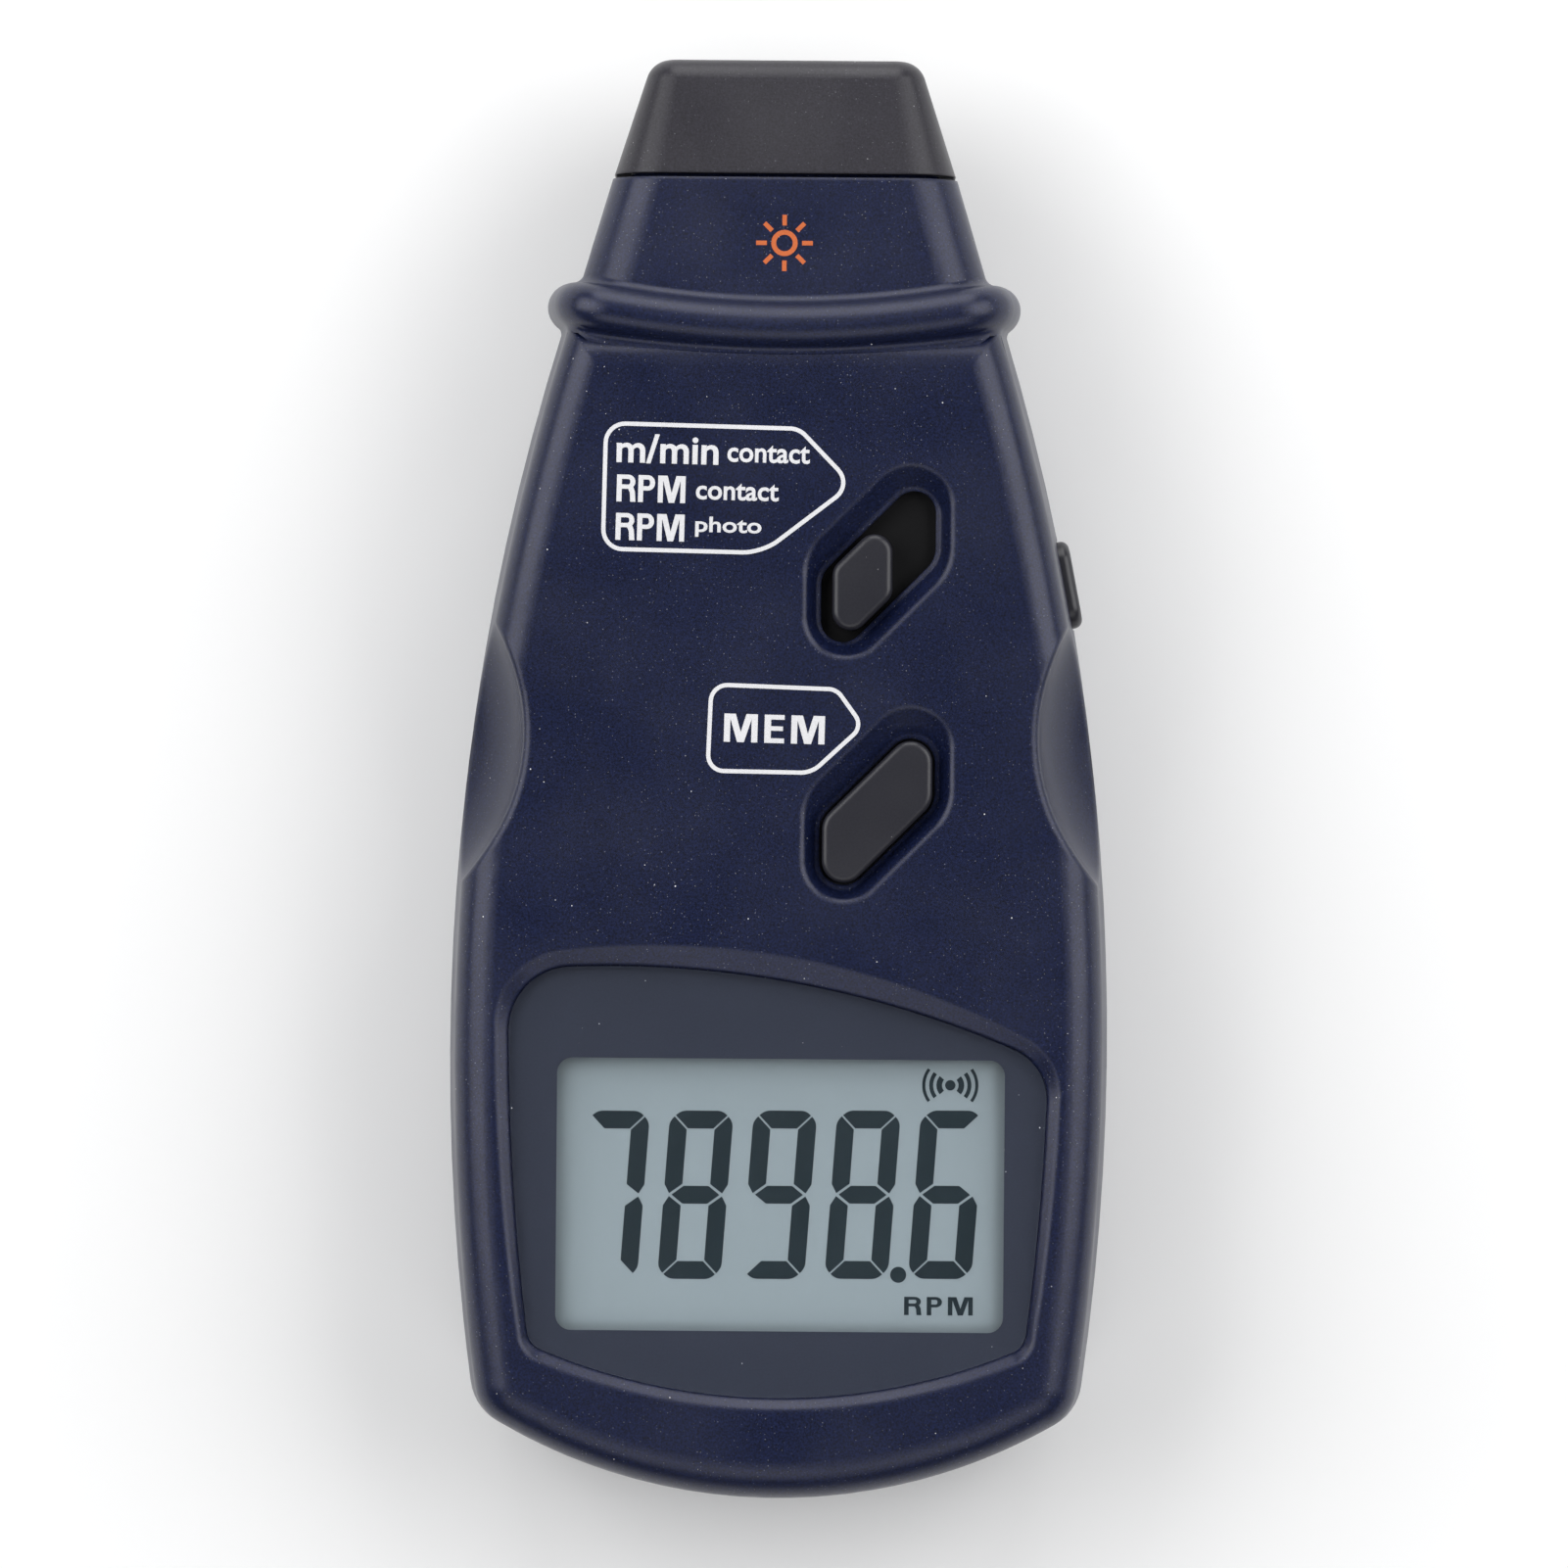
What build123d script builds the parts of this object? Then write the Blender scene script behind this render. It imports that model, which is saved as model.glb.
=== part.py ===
from build123d import *
from math import cos, hypot, radians, sin, sqrt, tan
import os

# A digital tachometer for one hand: a moulded two-shell case with a sensing head,
# a slanted slide switch, a memory key, a measuring key on its side and a display.
# It lies on its back. +X is right, +Y points to the head, +Z comes out of the display.
# Every value is in millimetres, and the origin is under the middle of the case.

# Overall form
LENGTH = 160.0
WIDTH = 73.4
END_Y = -LENGTH / 2
HEAD_Y = LENGTH / 2
FACE_Z = 35.4
PARTING_Z = 19.0
WALL = 2.2
DRAFT = 4.5
FACE_EDGE_R = 4.2
BACK_EDGE_R = 5.0

# Outline of the case, seen from the front
CASE_TOP_Y = HEAD_Y - 29.0
CASE_TOP_HALF = 24.5
WIDEST_Y = END_Y + 50.3
BOTTOM_R = 62.0
CORNER_R = 6.0

# The back is flat, then bends up to the neck
BACK_FLAT_Y = CASE_TOP_Y - 43.0
BACK_BEND_R = 120.0
BACK_RISE = 9.0

# Line between the shells, and the lip that locates them
SEAM = 0.3
LIP_T = 1.0
LIP_H = 1.4
GAP = 0.2

# Neck between the case and the head, as half width and height at its two ends
NECK_ROOT_Y = CASE_TOP_Y - 5.0
NECK_TOP_Y = HEAD_Y - 13.3
NECK_ROOT = (25.2, 6.0, 34.6, 6.0)
NECK_TOP = (19.1, 9.5, 32.2, 5.5)
NECK_WALL = 2.1
NECK_FLOOR = 1.8

# Rounded finger guard round the root of the neck
GUARD_R = 2.6
GUARD_MID_Y = CASE_TOP_Y - 0.9
GUARD_BEND_R = 113.0
GUARD_HALF = 23.75
GUARD_LOW_Z = 6.8
GUARD_HIGH_Z = 34.3
GUARD_BOW = 1.0
GUARD_CORNER_R = 3.3

# Hood over the sensing head, with the spigot that it slides on
HOOD_GAP = 0.45
HOOD_Y = NECK_TOP_Y + HOOD_GAP
HOOD_ROOT = (18.9, 9.6, 32.1, 5.4)
HOOD_TIP = (14.8, 12.8, 28.9, 3.2)
HOOD_WALL = 1.8
HOOD_FIT = 0.25
HOOD_END_R = 2.8
SPIGOT_END_Y = HEAD_Y - 3.5
SPIGOT_WALL = 1.4
PORT_W = 24.0
PORT_H = 9.0
PORT_R = 2.0
PORT_PANE_T = 1.2
PORT_REST = 1.3

# Optics in the head
OPTICS_Z = 20.85
OPTICS_BACK_Y = HEAD_Y - 19.0
OPTICS_FRONT_Y = SPIGOT_END_Y - 0.7
LASER_X = -7.0
LASER_D = 6.0
LASER_L = 12.0
LASER_LENS_T = 1.2
LASER_LENS_R = 0.5
RECEIVER_X = 6.5
RECEIVER_D = 9.0
RECEIVER_LENS_T = 2.4
RECEIVER_BALL_R = 18.0
DIODE_D = 5.0
DIODE_L = 7.0

# Concave finger grips in the two sides
GRIP_X = WIDTH / 2 + 13.95
GRIP_Y = CASE_TOP_Y - 45.8
GRIP_SWEEP_R = 6.5
GRIP_Z = FACE_Z - 3.44
GRIP_R = 16.0
GRIP_RIM_R = 0.8

# Display window, the shallow step round it and the liquid crystal panel
LCD_X = 0.3
LCD_Y = END_Y + 34.5
VIEW_W = 49.3
VIEW_H = 30.0
VIEW_EDGE = 1.0
STEP_DEPTH = 0.8
WINDOW_T = 1.4
WINDOW_FIT = 0.15
WINDOW_CHAMFER = 0.15
GLUE_T = 0.2
LEDGE_T = 1.4
LCD_W = 54.0
LCD_H = 37.0
LCD_T = 2.6
STRIP_W = 2.4
STRIP_L = 50.0
STRIP_H = 3.8
FRAME_T = 1.4
FRAME_RISE = 1.6

# Boards and small parts
BOARD_T = 1.6
BOARD_INSET = 4.6
BOARD_TOP_Y = CASE_TOP_Y - 12.5
BOARD_CLEAR = 0.8
WIRE_R = 0.6
WIRE_BEND = 1.5
CHIP_H = 1.6

# Slanted recesses on the face and what works in them
RECESS_DEPTH = 2.0
RECESS_FLOOR_T = 1.5
RIM_R = 0.7
SWITCH = (10.6, CASE_TOP_Y - 27.2)
SWITCH_RIM = (16.0, 18.0, 4.5, 6.0)
SWITCH_RIM_SHIFT = 0.6
SWITCH_FLOOR = (13.6, 12.2, 3.0, 3.6)
SLOT = (12.6, 10.9, 2.4, 3.0)
KNOB = (6.6, 9.6, 2.0, 2.0)
KNOB_TOP_Z = FACE_Z + 0.6
KNOB_TRAVEL = 5.0
KNOB_NECK = 4.0
KNOB_EDGE_R = 0.7
LEVER_W = 1.6
LEVER_FIT = 0.1
SWITCH_CASE = (15.0, 6.0, 3.4)
SWITCH_SKIN = 0.8
SHUTTER_T = 1.0
SHUTTER_LAP = 0.8
KEY = (10.64, CASE_TOP_Y - 54.2)
KEY_RIM = (16.2, 18.0, 4.5, 6.0)
KEY_RIM_SHIFT = 0.9
KEY_FLOOR = (13.6, 12.2, 3.0, 3.6)
KEY_CAP = (12.1, 10.3, 2.4, 2.8)
KEY_TOP_Z = FACE_Z + 0.2
KEY_EDGE_R = 0.6
KEY_FLANGE = 0.9
KEY_FLANGE_T = 0.8
KEY_SKIN = 1.2
KEY_TRAVEL = 0.5
KEY_STEM_R = 2.0
TACT_W = 6.2
TACT_H = 3.6
TACT_PLUNGER_R = 1.7
TACT_RISE = 0.8
TACT_FLOOR = 0.8
TACT_CORNER = 0.6

# Measuring key on the right side
SIDE_KEY_Y = CASE_TOP_Y - 28.8
SIDE_KEY_W = 9.8
SIDE_KEY_H = 8.0
SIDE_KEY_R = 2.5
SIDE_KEY_OUT = 1.0
SIDE_KEY_EDGE_R = 0.9
SIDE_KEY_FLANGE = 1.3
SIDE_KEY_FLANGE_T = 1.1
SIDE_KEY_REST = 3.0
SIDE_KEY_TRAVEL = 0.8
SIDE_KEY_STEM = 1.4
SIDE_TACT_DEPTH = 8.2

# Four round cells side by side under a sliding cover
CELL_D = 14.2
CELL_L = 50.5
CELL_PITCH = 14.75
NUB_D = 5.5
NUB_L = 1.0
CAN_EDGE_R = 0.5
SPRING_L = 3.1
SPRING_R = 4.4
SPRING_TURNS = 3
SPRING_WIRE_R = 0.35
SPRING_CONE = 20.0
PLATE_T = 0.4
PLATE_W = 12.0
PLATE_H = 11.0
DIMPLE_H = 0.6
BAY_HALF = 29.6
BAY_WALL = 1.6
BAY_ROOF_T = 1.5
BAY_CORNER = 4.0
TAB_HALF = 1.5
TAB_RISE = 2.2
BAY_BOTTOM_Y = END_Y + 12.5
BAY_TOP_Y = BAY_BOTTOM_Y + 2 * PLATE_T + SPRING_L + DIMPLE_H + CELL_L
COVER_T = 2.2
COVER_HALF = 29.8
COVER_TOP_Y = BAY_TOP_Y + 0.5
RAIL_OUT = 1.2
RAIL_T = 1.1
RAIL_SETBACK = 2.0
RAIL_BLOCK_H = 5.0
TONGUE_HALF = 12.0
TONGUE_REACH = 1.0
THUMB_SLOTS = 5
THUMB_SLOT_W = 1.3
THUMB_PITCH = 2.6
THUMB_HALF = 11.0
THUMB_DEPTH = 0.8
THUMB_SETBACK = 8.0

# Screws: head radius, head height, shank radius
CASE_SCREW = (2.6, 1.8, 1.45)
CASE_SCREW_L = 16.0
CASE_SCREW_SEAT_Z = 8.0
CASE_BOSS_R = 3.3
CASE_SCREWS = [(-15.5, CASE_TOP_Y - 7.5), (15.5, CASE_TOP_Y - 7.5),
               (-26.0, BAY_TOP_Y + 6.5), (26.0, BAY_TOP_Y + 6.5)]
BOARD_SCREW = (2.2, 1.5, 1.15)
BOARD_SCREW_L = 7.0
BOARD_BOSS_R = 2.5
BOARD_SCREWS = [(-18.0, CASE_TOP_Y - 17.0), (22.5, CASE_TOP_Y - 45.0),
                (-26.5, LCD_Y + 26.0), (26.5, LCD_Y + 26.0)]
FRAME_SCREW = (1.8, 1.2, 0.9)
FRAME_SCREW_L = 6.0
FRAME_EAR_R = 2.2
SCREW_TIP_GAP = 0.5
FRAME_SCREWS = [(-20.0, 1), (20.0, 1), (-15.0, -1), (15.0, -1)]

# Levels and angles that follow from the values above
STEP_Z = FACE_Z - STEP_DEPTH
WINDOW_Z = STEP_Z - WINDOW_T
LEDGE_Z = WINDOW_Z - GLUE_T
LEDGE_LOW_Z = LEDGE_Z - LEDGE_T
LCD_TOP_Z = LEDGE_LOW_Z - GAP
LCD_LOW_Z = LCD_TOP_Z - LCD_T
BOARD_TOP_Z = LCD_LOW_Z - STRIP_H
BOARD_LOW_Z = BOARD_TOP_Z - BOARD_T
RECESS_Z = FACE_Z - RECESS_DEPTH
RECESS_LOW_Z = RECESS_Z - RECESS_FLOOR_T
SHUTTER_TOP_Z = RECESS_LOW_Z - SEAM
LEVER_TOP_Z = SHUTTER_TOP_Z - SHUTTER_T - GAP
SWITCH_TOP_Z = BOARD_TOP_Z + SWITCH_CASE[2]
CELL_Z = COVER_T + GAP + CELL_D / 2
BAY_ROOF_Z = CELL_Z + CELL_D / 2 + SEAM
SLANT = 1 / sqrt(2)
DRAFT_SLOPE = tan(radians(DRAFT))
SIDE_SAG = WIDTH / 2 - CASE_TOP_HALF
SIDE_RUN = CASE_TOP_Y - WIDEST_Y
SIDE_R = (SIDE_RUN**2 + SIDE_SAG**2) / (2 * SIDE_SAG)
FAR = LENGTH + WIDTH


def block(x, y, z):
    """A box between two values along each axis."""
    size = [b - a for a, b in (x, y, z)]
    return Pos(*[(a + b) / 2 for a, b in (x, y, z)]) * Box(*size)


def post(x, y, radius, low, high):
    """An upright cylinder between two levels."""
    return Pos(x, y, low) * extrude(Circle(radius), high - low)


def plate(sketch, low, high):
    """A flat outline drawn on the ground plane, made solid between two levels."""
    return extrude(Pos(0, 0, low) * sketch, high - low)


def lozenge(shape, grow=0.0):
    """An outline with two upright sides and two that climb at 45 degrees to the right."""
    width, side, acute, obtuse = shape
    w = width / 2 + grow
    s = side / 2 + grow * sqrt(2)
    face = make_face(Polyline((-w, -w - s), (w, w - s), (w, w + s), (-w, -w + s), close=True))
    face = fillet(face.vertices().sort_by(lambda v: abs(v.Y))[-2:], acute + grow)
    corners = face.vertices().filter_by(lambda v: hypot(abs(v.X) - w, abs(v.Y) - abs(w - s)) < 0.001)
    return fillet(corners, obtuse + grow)


def plan(inset):
    """The outline of the case, moved inwards by an inset."""
    off = SIDE_R - WIDTH / 2
    side_r, low_r = SIDE_R - inset, BOTTOM_R - inset
    centre_y = END_Y + BOTTOM_R
    top = CASE_TOP_Y - inset
    top_x = sqrt(side_r**2 - (top - WIDEST_Y) ** 2) - off
    dx, dy = off, centre_y - WIDEST_Y
    apart = hypot(dx, dy)
    along = (side_r**2 - low_r**2 + apart**2) / (2 * apart)
    across = sqrt(side_r**2 - along**2)
    x = -off + (along * dx + across * dy) / apart
    y = WIDEST_Y + (along * dy - across * dx) / apart
    outline = [
        ThreePointArc((top_x, top), (side_r - off, WIDEST_Y), (x, y)),
        ThreePointArc((x, y), (0, centre_y - low_r), (-x, y)),
        ThreePointArc((-x, y), (off - side_r, WIDEST_Y), (-top_x, top)),
        Line((-top_x, top), (top_x, top)),
    ]
    face = make_face(outline)
    return fillet(face.vertices().filter_by(lambda v: v.Y < WIDEST_Y), CORNER_R - inset)


def side_profile(inset):
    """The case seen from the side: flat back, a long bend and a straight rise to the neck."""
    rise = radians(BACK_RISE)
    start = END_Y - WALL
    bend_y = BACK_FLAT_Y + BACK_BEND_R * sin(rise)
    bend_z = inset + BACK_BEND_R * (1 - cos(rise))
    top_z = bend_z + (HEAD_Y - bend_y) * tan(rise)
    high = FACE_Z - inset
    outline = [
        Line((start, inset), (BACK_FLAT_Y, inset)),
        TangentArc((BACK_FLAT_Y, inset), (bend_y, bend_z), tangent=(1, 0)),
        Line((bend_y, bend_z), (HEAD_Y, top_z)),
        Line((HEAD_Y, top_z), (HEAD_Y, high)),
        Line((HEAD_Y, high), (start, high)),
        Line((start, high), (start, inset)),
    ]
    return extrude(Plane.YZ * make_face(outline), WIDTH, both=True)


def case(inset):
    """The drafted body of the case, with rounded front and back edges."""
    wide = Pos(0, 0, PARTING_Z) * plan(inset)
    front_z, back_z = FACE_Z - inset, inset
    front = loft([wide, Pos(0, 0, front_z) * plan(inset + (front_z - PARTING_Z) * DRAFT_SLOPE)], ruled=True)
    back = loft([wide, Pos(0, 0, back_z) * plan(inset + (PARTING_Z - back_z) * DRAFT_SLOPE)], ruled=True)
    body = (front + back) & side_profile(inset)
    end_y = CASE_TOP_Y - inset - 0.1
    face_edges = body.edges().filter_by(
        lambda e: e.bounding_box().min.Z > front_z - 0.01 and e.center().Y < end_y)
    body = fillet(face_edges, FACE_EDGE_R - inset)
    back_edges = body.edges().filter_by(
        lambda e: e.bounding_box().max.Z < PARTING_Z / 2 and e.geom_type != GeomType.LINE)
    return fillet(back_edges, BACK_EDGE_R - inset)


def ring_section(y, shape, inset):
    """A rounded upright section across the neck or head."""
    half, low, high, radius = shape
    frame = Plane(origin=(0, y, 0), x_dir=(1, 0, 0), z_dir=(0, -1, 0))
    width, height = 2 * (half - inset), high - low - 2 * inset
    return frame * (Pos(0, (low + high) / 2) * RectangleRounded(width, height, max(radius - inset, 0.6)))


def tapered(root_y, root, tip_y, tip, inset, start, end):
    """A tapering tube section by section, cut between two stations."""
    def at(y):
        share = (y - root_y) / (tip_y - root_y)
        return [a + (b - a) * share for a, b in zip(root, tip)]
    return loft([ring_section(start, at(start), inset), ring_section(end, at(end), inset)])


def neck(inset, start, end):
    return tapered(NECK_ROOT_Y, NECK_ROOT, NECK_TOP_Y, NECK_TOP, inset, start, end)


def head(inset, start, end):
    return tapered(HOOD_Y, HOOD_ROOT, HEAD_Y, HOOD_TIP, inset, start, end)


def finger_guard():
    """A round bead that runs right round the root of the neck and dips on the front and back."""
    def y_at(x):
        return GUARD_MID_Y + GUARD_BEND_R - sqrt(GUARD_BEND_R**2 - x**2)

    side_x = GUARD_HALF - GUARD_BOW
    flat_x = side_x - GUARD_CORNER_R
    high, low = GUARD_HIGH_Z - GUARD_CORNER_R, GUARD_LOW_Z + GUARD_CORNER_R
    middle = (high + low) / 2
    runs = [
        ThreePointArc((-flat_x, y_at(flat_x), GUARD_HIGH_Z), (0, GUARD_MID_Y, GUARD_HIGH_Z),
                      (flat_x, y_at(flat_x), GUARD_HIGH_Z)),
        ThreePointArc((side_x, y_at(side_x), high), (GUARD_HALF, y_at(GUARD_HALF), middle),
                      (side_x, y_at(side_x), low)),
        ThreePointArc((flat_x, y_at(flat_x), GUARD_LOW_Z), (0, GUARD_MID_Y, GUARD_LOW_Z),
                      (-flat_x, y_at(flat_x), GUARD_LOW_Z)),
        ThreePointArc((-side_x, y_at(side_x), low), (-GUARD_HALF, y_at(GUARD_HALF), middle),
                      (-side_x, y_at(side_x), high)),
    ]
    pull = 0.5523 * GUARD_CORNER_R
    edges = []
    for run, following in zip(runs, runs[1:] + runs[:1]):
        a, b = run @ 1, following @ 0
        edges += [run, Bezier(a, a + (run % 1) * pull, b - (following % 0) * pull, b)]
    path = Wire(edges)
    return sweep(Plane(origin=path @ 0, z_dir=path % 0) * Circle(GUARD_R), path=path)


def grips(grow):
    """The two scooped hollows for thumb and finger, as cutting tools."""
    disc = Pos(GRIP_SWEEP_R, GRIP_Z) * Circle(GRIP_R + grow)
    half = disc & (Pos(FAR / 2, GRIP_Z) * Rectangle(FAR, FAR))
    tool = revolve(Plane.XZ * half, Axis.Z)
    return Pos(GRIP_X, GRIP_Y, 0) * tool + Pos(-GRIP_X, GRIP_Y, 0) * tool


def scooped(body):
    """A body with the two grips cut into it and their rims rounded."""
    def off_grip(point):
        across = hypot(abs(point.X) - GRIP_X, point.Y - GRIP_Y) - GRIP_SWEEP_R
        return abs(hypot(across, point.Z - GRIP_Z) - GRIP_R)

    body -= grips(0)
    rims = body.edges().filter_by(lambda e: max(off_grip(e @ t) for t in (0, 0.5, 1)) < 0.001)
    return fillet(rims, GRIP_RIM_R)


def display_outline(top, side, low, corners, grow=0.0):
    """The lopsided outline of the window: a crowned top, bowed sides and a curved foot."""
    peak_x, peak_y, top_r = top
    edge = ThreePointArc(*[(x, LCD_Y + y) for x, y in side])
    centre, side_r = edge.arc_center, edge.radius + grow
    low_y, low_r = low
    face = Pos(peak_x, LCD_Y + peak_y - top_r) * Circle(top_r + grow)
    face &= Pos(0, LCD_Y + low_y + low_r) * Circle(low_r + grow)
    face &= Pos(centre.X, centre.Y) * Rot(0, 0, 180) * Circle(side_r)
    face &= Pos(-centre.X, centre.Y) * Circle(side_r)
    left, right, foot = corners
    upper = face.vertices().filter_by(lambda v: v.Y > LCD_Y).sort_by(Axis.X)
    face = fillet(upper[:1], left + grow)
    upper = face.vertices().filter_by(lambda v: v.Y > LCD_Y).sort_by(Axis.X)
    face = fillet(upper[-1:], right + grow)
    lower = face.vertices().group_by(Axis.Y)[0]
    return fillet(lower, foot + grow)


def window_outline(grow=0.0):
    side = [(29.6, 12.5), (28.85, -1.5), (27.4, -15.5)]
    return display_outline((-18.0, 25.1, 113.0), side, (-22.3, 67.6), (7.0, 6.0, 2.5), grow)


def step_outline():
    side = [(31.0, 12.5), (30.2, -0.3), (28.4, -15.0)]
    return display_outline((-13.0, 27.5, 86.0), side, (-23.6, 69.0), (8.0, 7.0, 3.5))


def side_frame():
    """The plane of the measuring key: on the case side, looking outwards, with +Y of the plane up."""
    y = SIDE_KEY_Y - WIDEST_Y
    x = sqrt(SIDE_R**2 - y**2)
    return Plane(origin=(x - SIDE_R + WIDTH / 2, SIDE_KEY_Y, PARTING_Z), x_dir=(-y, x, 0), z_dir=(x, y, 0))


def on_side(sketch, inner, outer):
    """An outline on the measuring key's plane, solid between two depths, outwards positive."""
    return extrude(side_frame().offset(inner) * sketch, outer - inner)


def lip(extra):
    """The tongue inside the seam, left out at the grips, the neck and the measuring key."""
    outline = plan(WALL - LIP_T - extra) - plan(WALL)
    tongue = plate(outline, PARTING_Z - LIP_H, PARTING_Z + LIP_H + extra)
    tongue &= block((-FAR, FAR), (END_Y, NECK_ROOT_Y - LIP_H + extra), (0, FAR))
    clear = SIDE_KEY_W / 2 + SIDE_KEY_FLANGE + LIP_T - extra
    tongue -= on_side(Rectangle(2 * clear, FAR), -FAR / 8, FAR / 8)
    return tongue - grips(WALL)


def outer_form():
    spigot = head(HOOD_WALL + HOOD_FIT, NECK_TOP_Y - NECK_FLOOR, SPIGOT_END_Y)
    return case(0) + neck(0, NECK_ROOT_Y, NECK_TOP_Y) + finger_guard() + spigot


def inner_form():
    bore = head(HOOD_WALL + HOOD_FIT + SPIGOT_WALL, NECK_TOP_Y - 2 * NECK_FLOOR, SPIGOT_END_Y + 1)
    throat = neck(NECK_WALL, NECK_ROOT_Y - 1, NECK_TOP_Y - NECK_FLOOR)
    return case(WALL) + throat + bore - grips(WALL)


def recess(centre, rim, shift, floor):
    """A slanted hollow in the face, with sloping walls."""
    x, y = centre
    top = Pos(x, y + shift, FACE_Z) * lozenge(rim)
    low = Pos(x, y, RECESS_Z) * lozenge(floor)
    return loft([low, top])


def side_key_room():
    """The measuring key's opening in the side, with a relief for its flange behind the wall."""
    reach = SIDE_KEY_REST + SIDE_KEY_FLANGE_T + SIDE_KEY_TRAVEL + GAP
    opening = RectangleRounded(SIDE_KEY_W + 2 * GAP, SIDE_KEY_H + 2 * GAP, SIDE_KEY_R + GAP)
    edge = SIDE_KEY_FLANGE + GAP
    relief = RectangleRounded(SIDE_KEY_W + 2 * edge, SIDE_KEY_H + 2 * edge, SIDE_KEY_R)
    return on_side(opening, -reach, reach) + on_side(relief, -reach, GAP - SIDE_KEY_REST)


def front_shell(outer, inner):
    above = block((-FAR, FAR), (-FAR, FAR), (PARTING_Z + SEAM / 2, FAR))
    shell = (scooped(outer) - inner) & above
    shell -= lip(GAP)
    shell += plate(step_outline(), LEDGE_LOW_Z, FACE_Z - WALL)
    for centre, rim, shift in ((SWITCH, SWITCH_RIM, SWITCH_RIM_SHIFT), (KEY, KEY_RIM, KEY_RIM_SHIFT)):
        pad = lozenge(rim, RECESS_FLOOR_T)
        shell += plate(Pos(centre[0], centre[1] + shift) * pad, RECESS_LOW_Z, FACE_Z - WALL)
    for x, y in CASE_SCREWS:
        shell += post(x, y, CASE_BOSS_R, PARTING_Z + SEAM / 2, FACE_Z - WALL)
    for x, y in BOARD_SCREWS:
        shell += post(x, y, BOARD_BOSS_R, BOARD_TOP_Z, FACE_Z - WALL)
    bevel = [Pos(0, 0, STEP_Z) * window_outline(WINDOW_FIT), Pos(0, 0, FACE_Z) * step_outline()]
    shell -= loft(bevel, ruled=True)
    shell -= recess(SWITCH, SWITCH_RIM, SWITCH_RIM_SHIFT, SWITCH_FLOOR)
    shell -= recess(KEY, KEY_RIM, KEY_RIM_SHIFT, KEY_FLOOR)
    face = shell.faces().filter_by(lambda f: f.center().Z > FACE_Z - 0.001).sort_by(SortBy.AREA)[-1]
    shell = fillet([e for rim in face.inner_wires() for e in rim.edges()], RIM_R)
    shell -= plate(window_outline(WINDOW_FIT), LEDGE_Z, FACE_Z)
    opening = RectangleRounded(VIEW_W + 2 * VIEW_EDGE, VIEW_H + 2 * VIEW_EDGE, VIEW_EDGE)
    shell -= plate(Pos(LCD_X, LCD_Y) * opening, LEDGE_LOW_Z, FACE_Z)
    shell -= plate(Pos(*SWITCH) * lozenge(SLOT), BOARD_TOP_Z, FACE_Z)
    shell -= plate(Pos(*KEY) * lozenge(KEY_CAP, SEAM), BOARD_TOP_Z, FACE_Z)
    shell -= side_key_room()
    for x, y in CASE_SCREWS:
        shell -= post(x, y, CASE_SCREW[2], PARTING_Z, CASE_SCREW_SEAT_Z + CASE_SCREW_L)
    for x, y in BOARD_SCREWS:
        shell -= post(x, y, BOARD_SCREW[2], BOARD_TOP_Z, BOARD_LOW_Z + BOARD_SCREW_L)
    return shell


def rear_shell(outer, inner):
    below = block((-FAR, FAR), (-FAR, FAR), (-FAR, PARTING_Z - SEAM / 2))
    shell = (outer - inner) & below
    skin = case(WALL / 2)
    wall_x = BAY_HALF + BAY_WALL
    bay_y = (BAY_BOTTOM_Y - BAY_WALL, BAY_TOP_Y + BAY_WALL)
    roof_z = BAY_ROOF_Z + BAY_ROOF_T
    full_x = (-WIDTH / 2, WIDTH / 2)
    bay = block((-wall_x, wall_x), bay_y, (COVER_T, roof_z))
    bay += block(full_x, (bay_y[0], BAY_BOTTOM_Y + BAY_CORNER), (COVER_T, roof_z)) & skin
    bay += block(full_x, (END_Y, bay_y[1]), (COVER_T, RAIL_BLOCK_H)) & skin
    shell += bay
    for x, y in CASE_SCREWS:
        shell += post(x, y, CASE_BOSS_R, 0, PARTING_Z - SEAM / 2) & outer
        shell -= post(x, y, CASE_SCREW[0] + SEAM, -1, CASE_SCREW_SEAT_Z)
        shell -= post(x, y, CASE_SCREW[2] + GAP, CASE_SCREW_SEAT_Z, PARTING_Z)
    shell += lip(0)
    shell -= block((-BAY_HALF, BAY_HALF), (BAY_BOTTOM_Y, BAY_TOP_Y), (0, BAY_ROOF_Z))
    open_x = COVER_HALF + GAP
    shell -= block((-open_x, open_x), (-FAR, COVER_TOP_Y + GAP), (-1, COVER_T + GAP))
    rail_x = open_x + RAIL_OUT
    rail_z = (COVER_T - RAIL_T - GAP, COVER_T + GAP)
    shell -= block((-rail_x, rail_x), (-FAR, COVER_TOP_Y), rail_z)
    slot_x = TONGUE_HALF + GAP
    slot_y = (COVER_TOP_Y, COVER_TOP_Y + TONGUE_REACH + GAP)
    shell -= block((-slot_x, slot_x), slot_y, rail_z)
    for x in (-cell_x(3), cell_x(3)):
        slot = TAB_HALF + GAP
        slot_y = (BAY_BOTTOM_Y, BAY_BOTTOM_Y + PLATE_T + GAP)
        shell -= block((x - slot, x + slot), slot_y, (CELL_Z, PARTING_Z))
    return shell - side_key_room()


def cell_x(index):
    """Where a cell's axis lies, counted from the left."""
    return (index - 1.5) * CELL_PITCH


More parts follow.
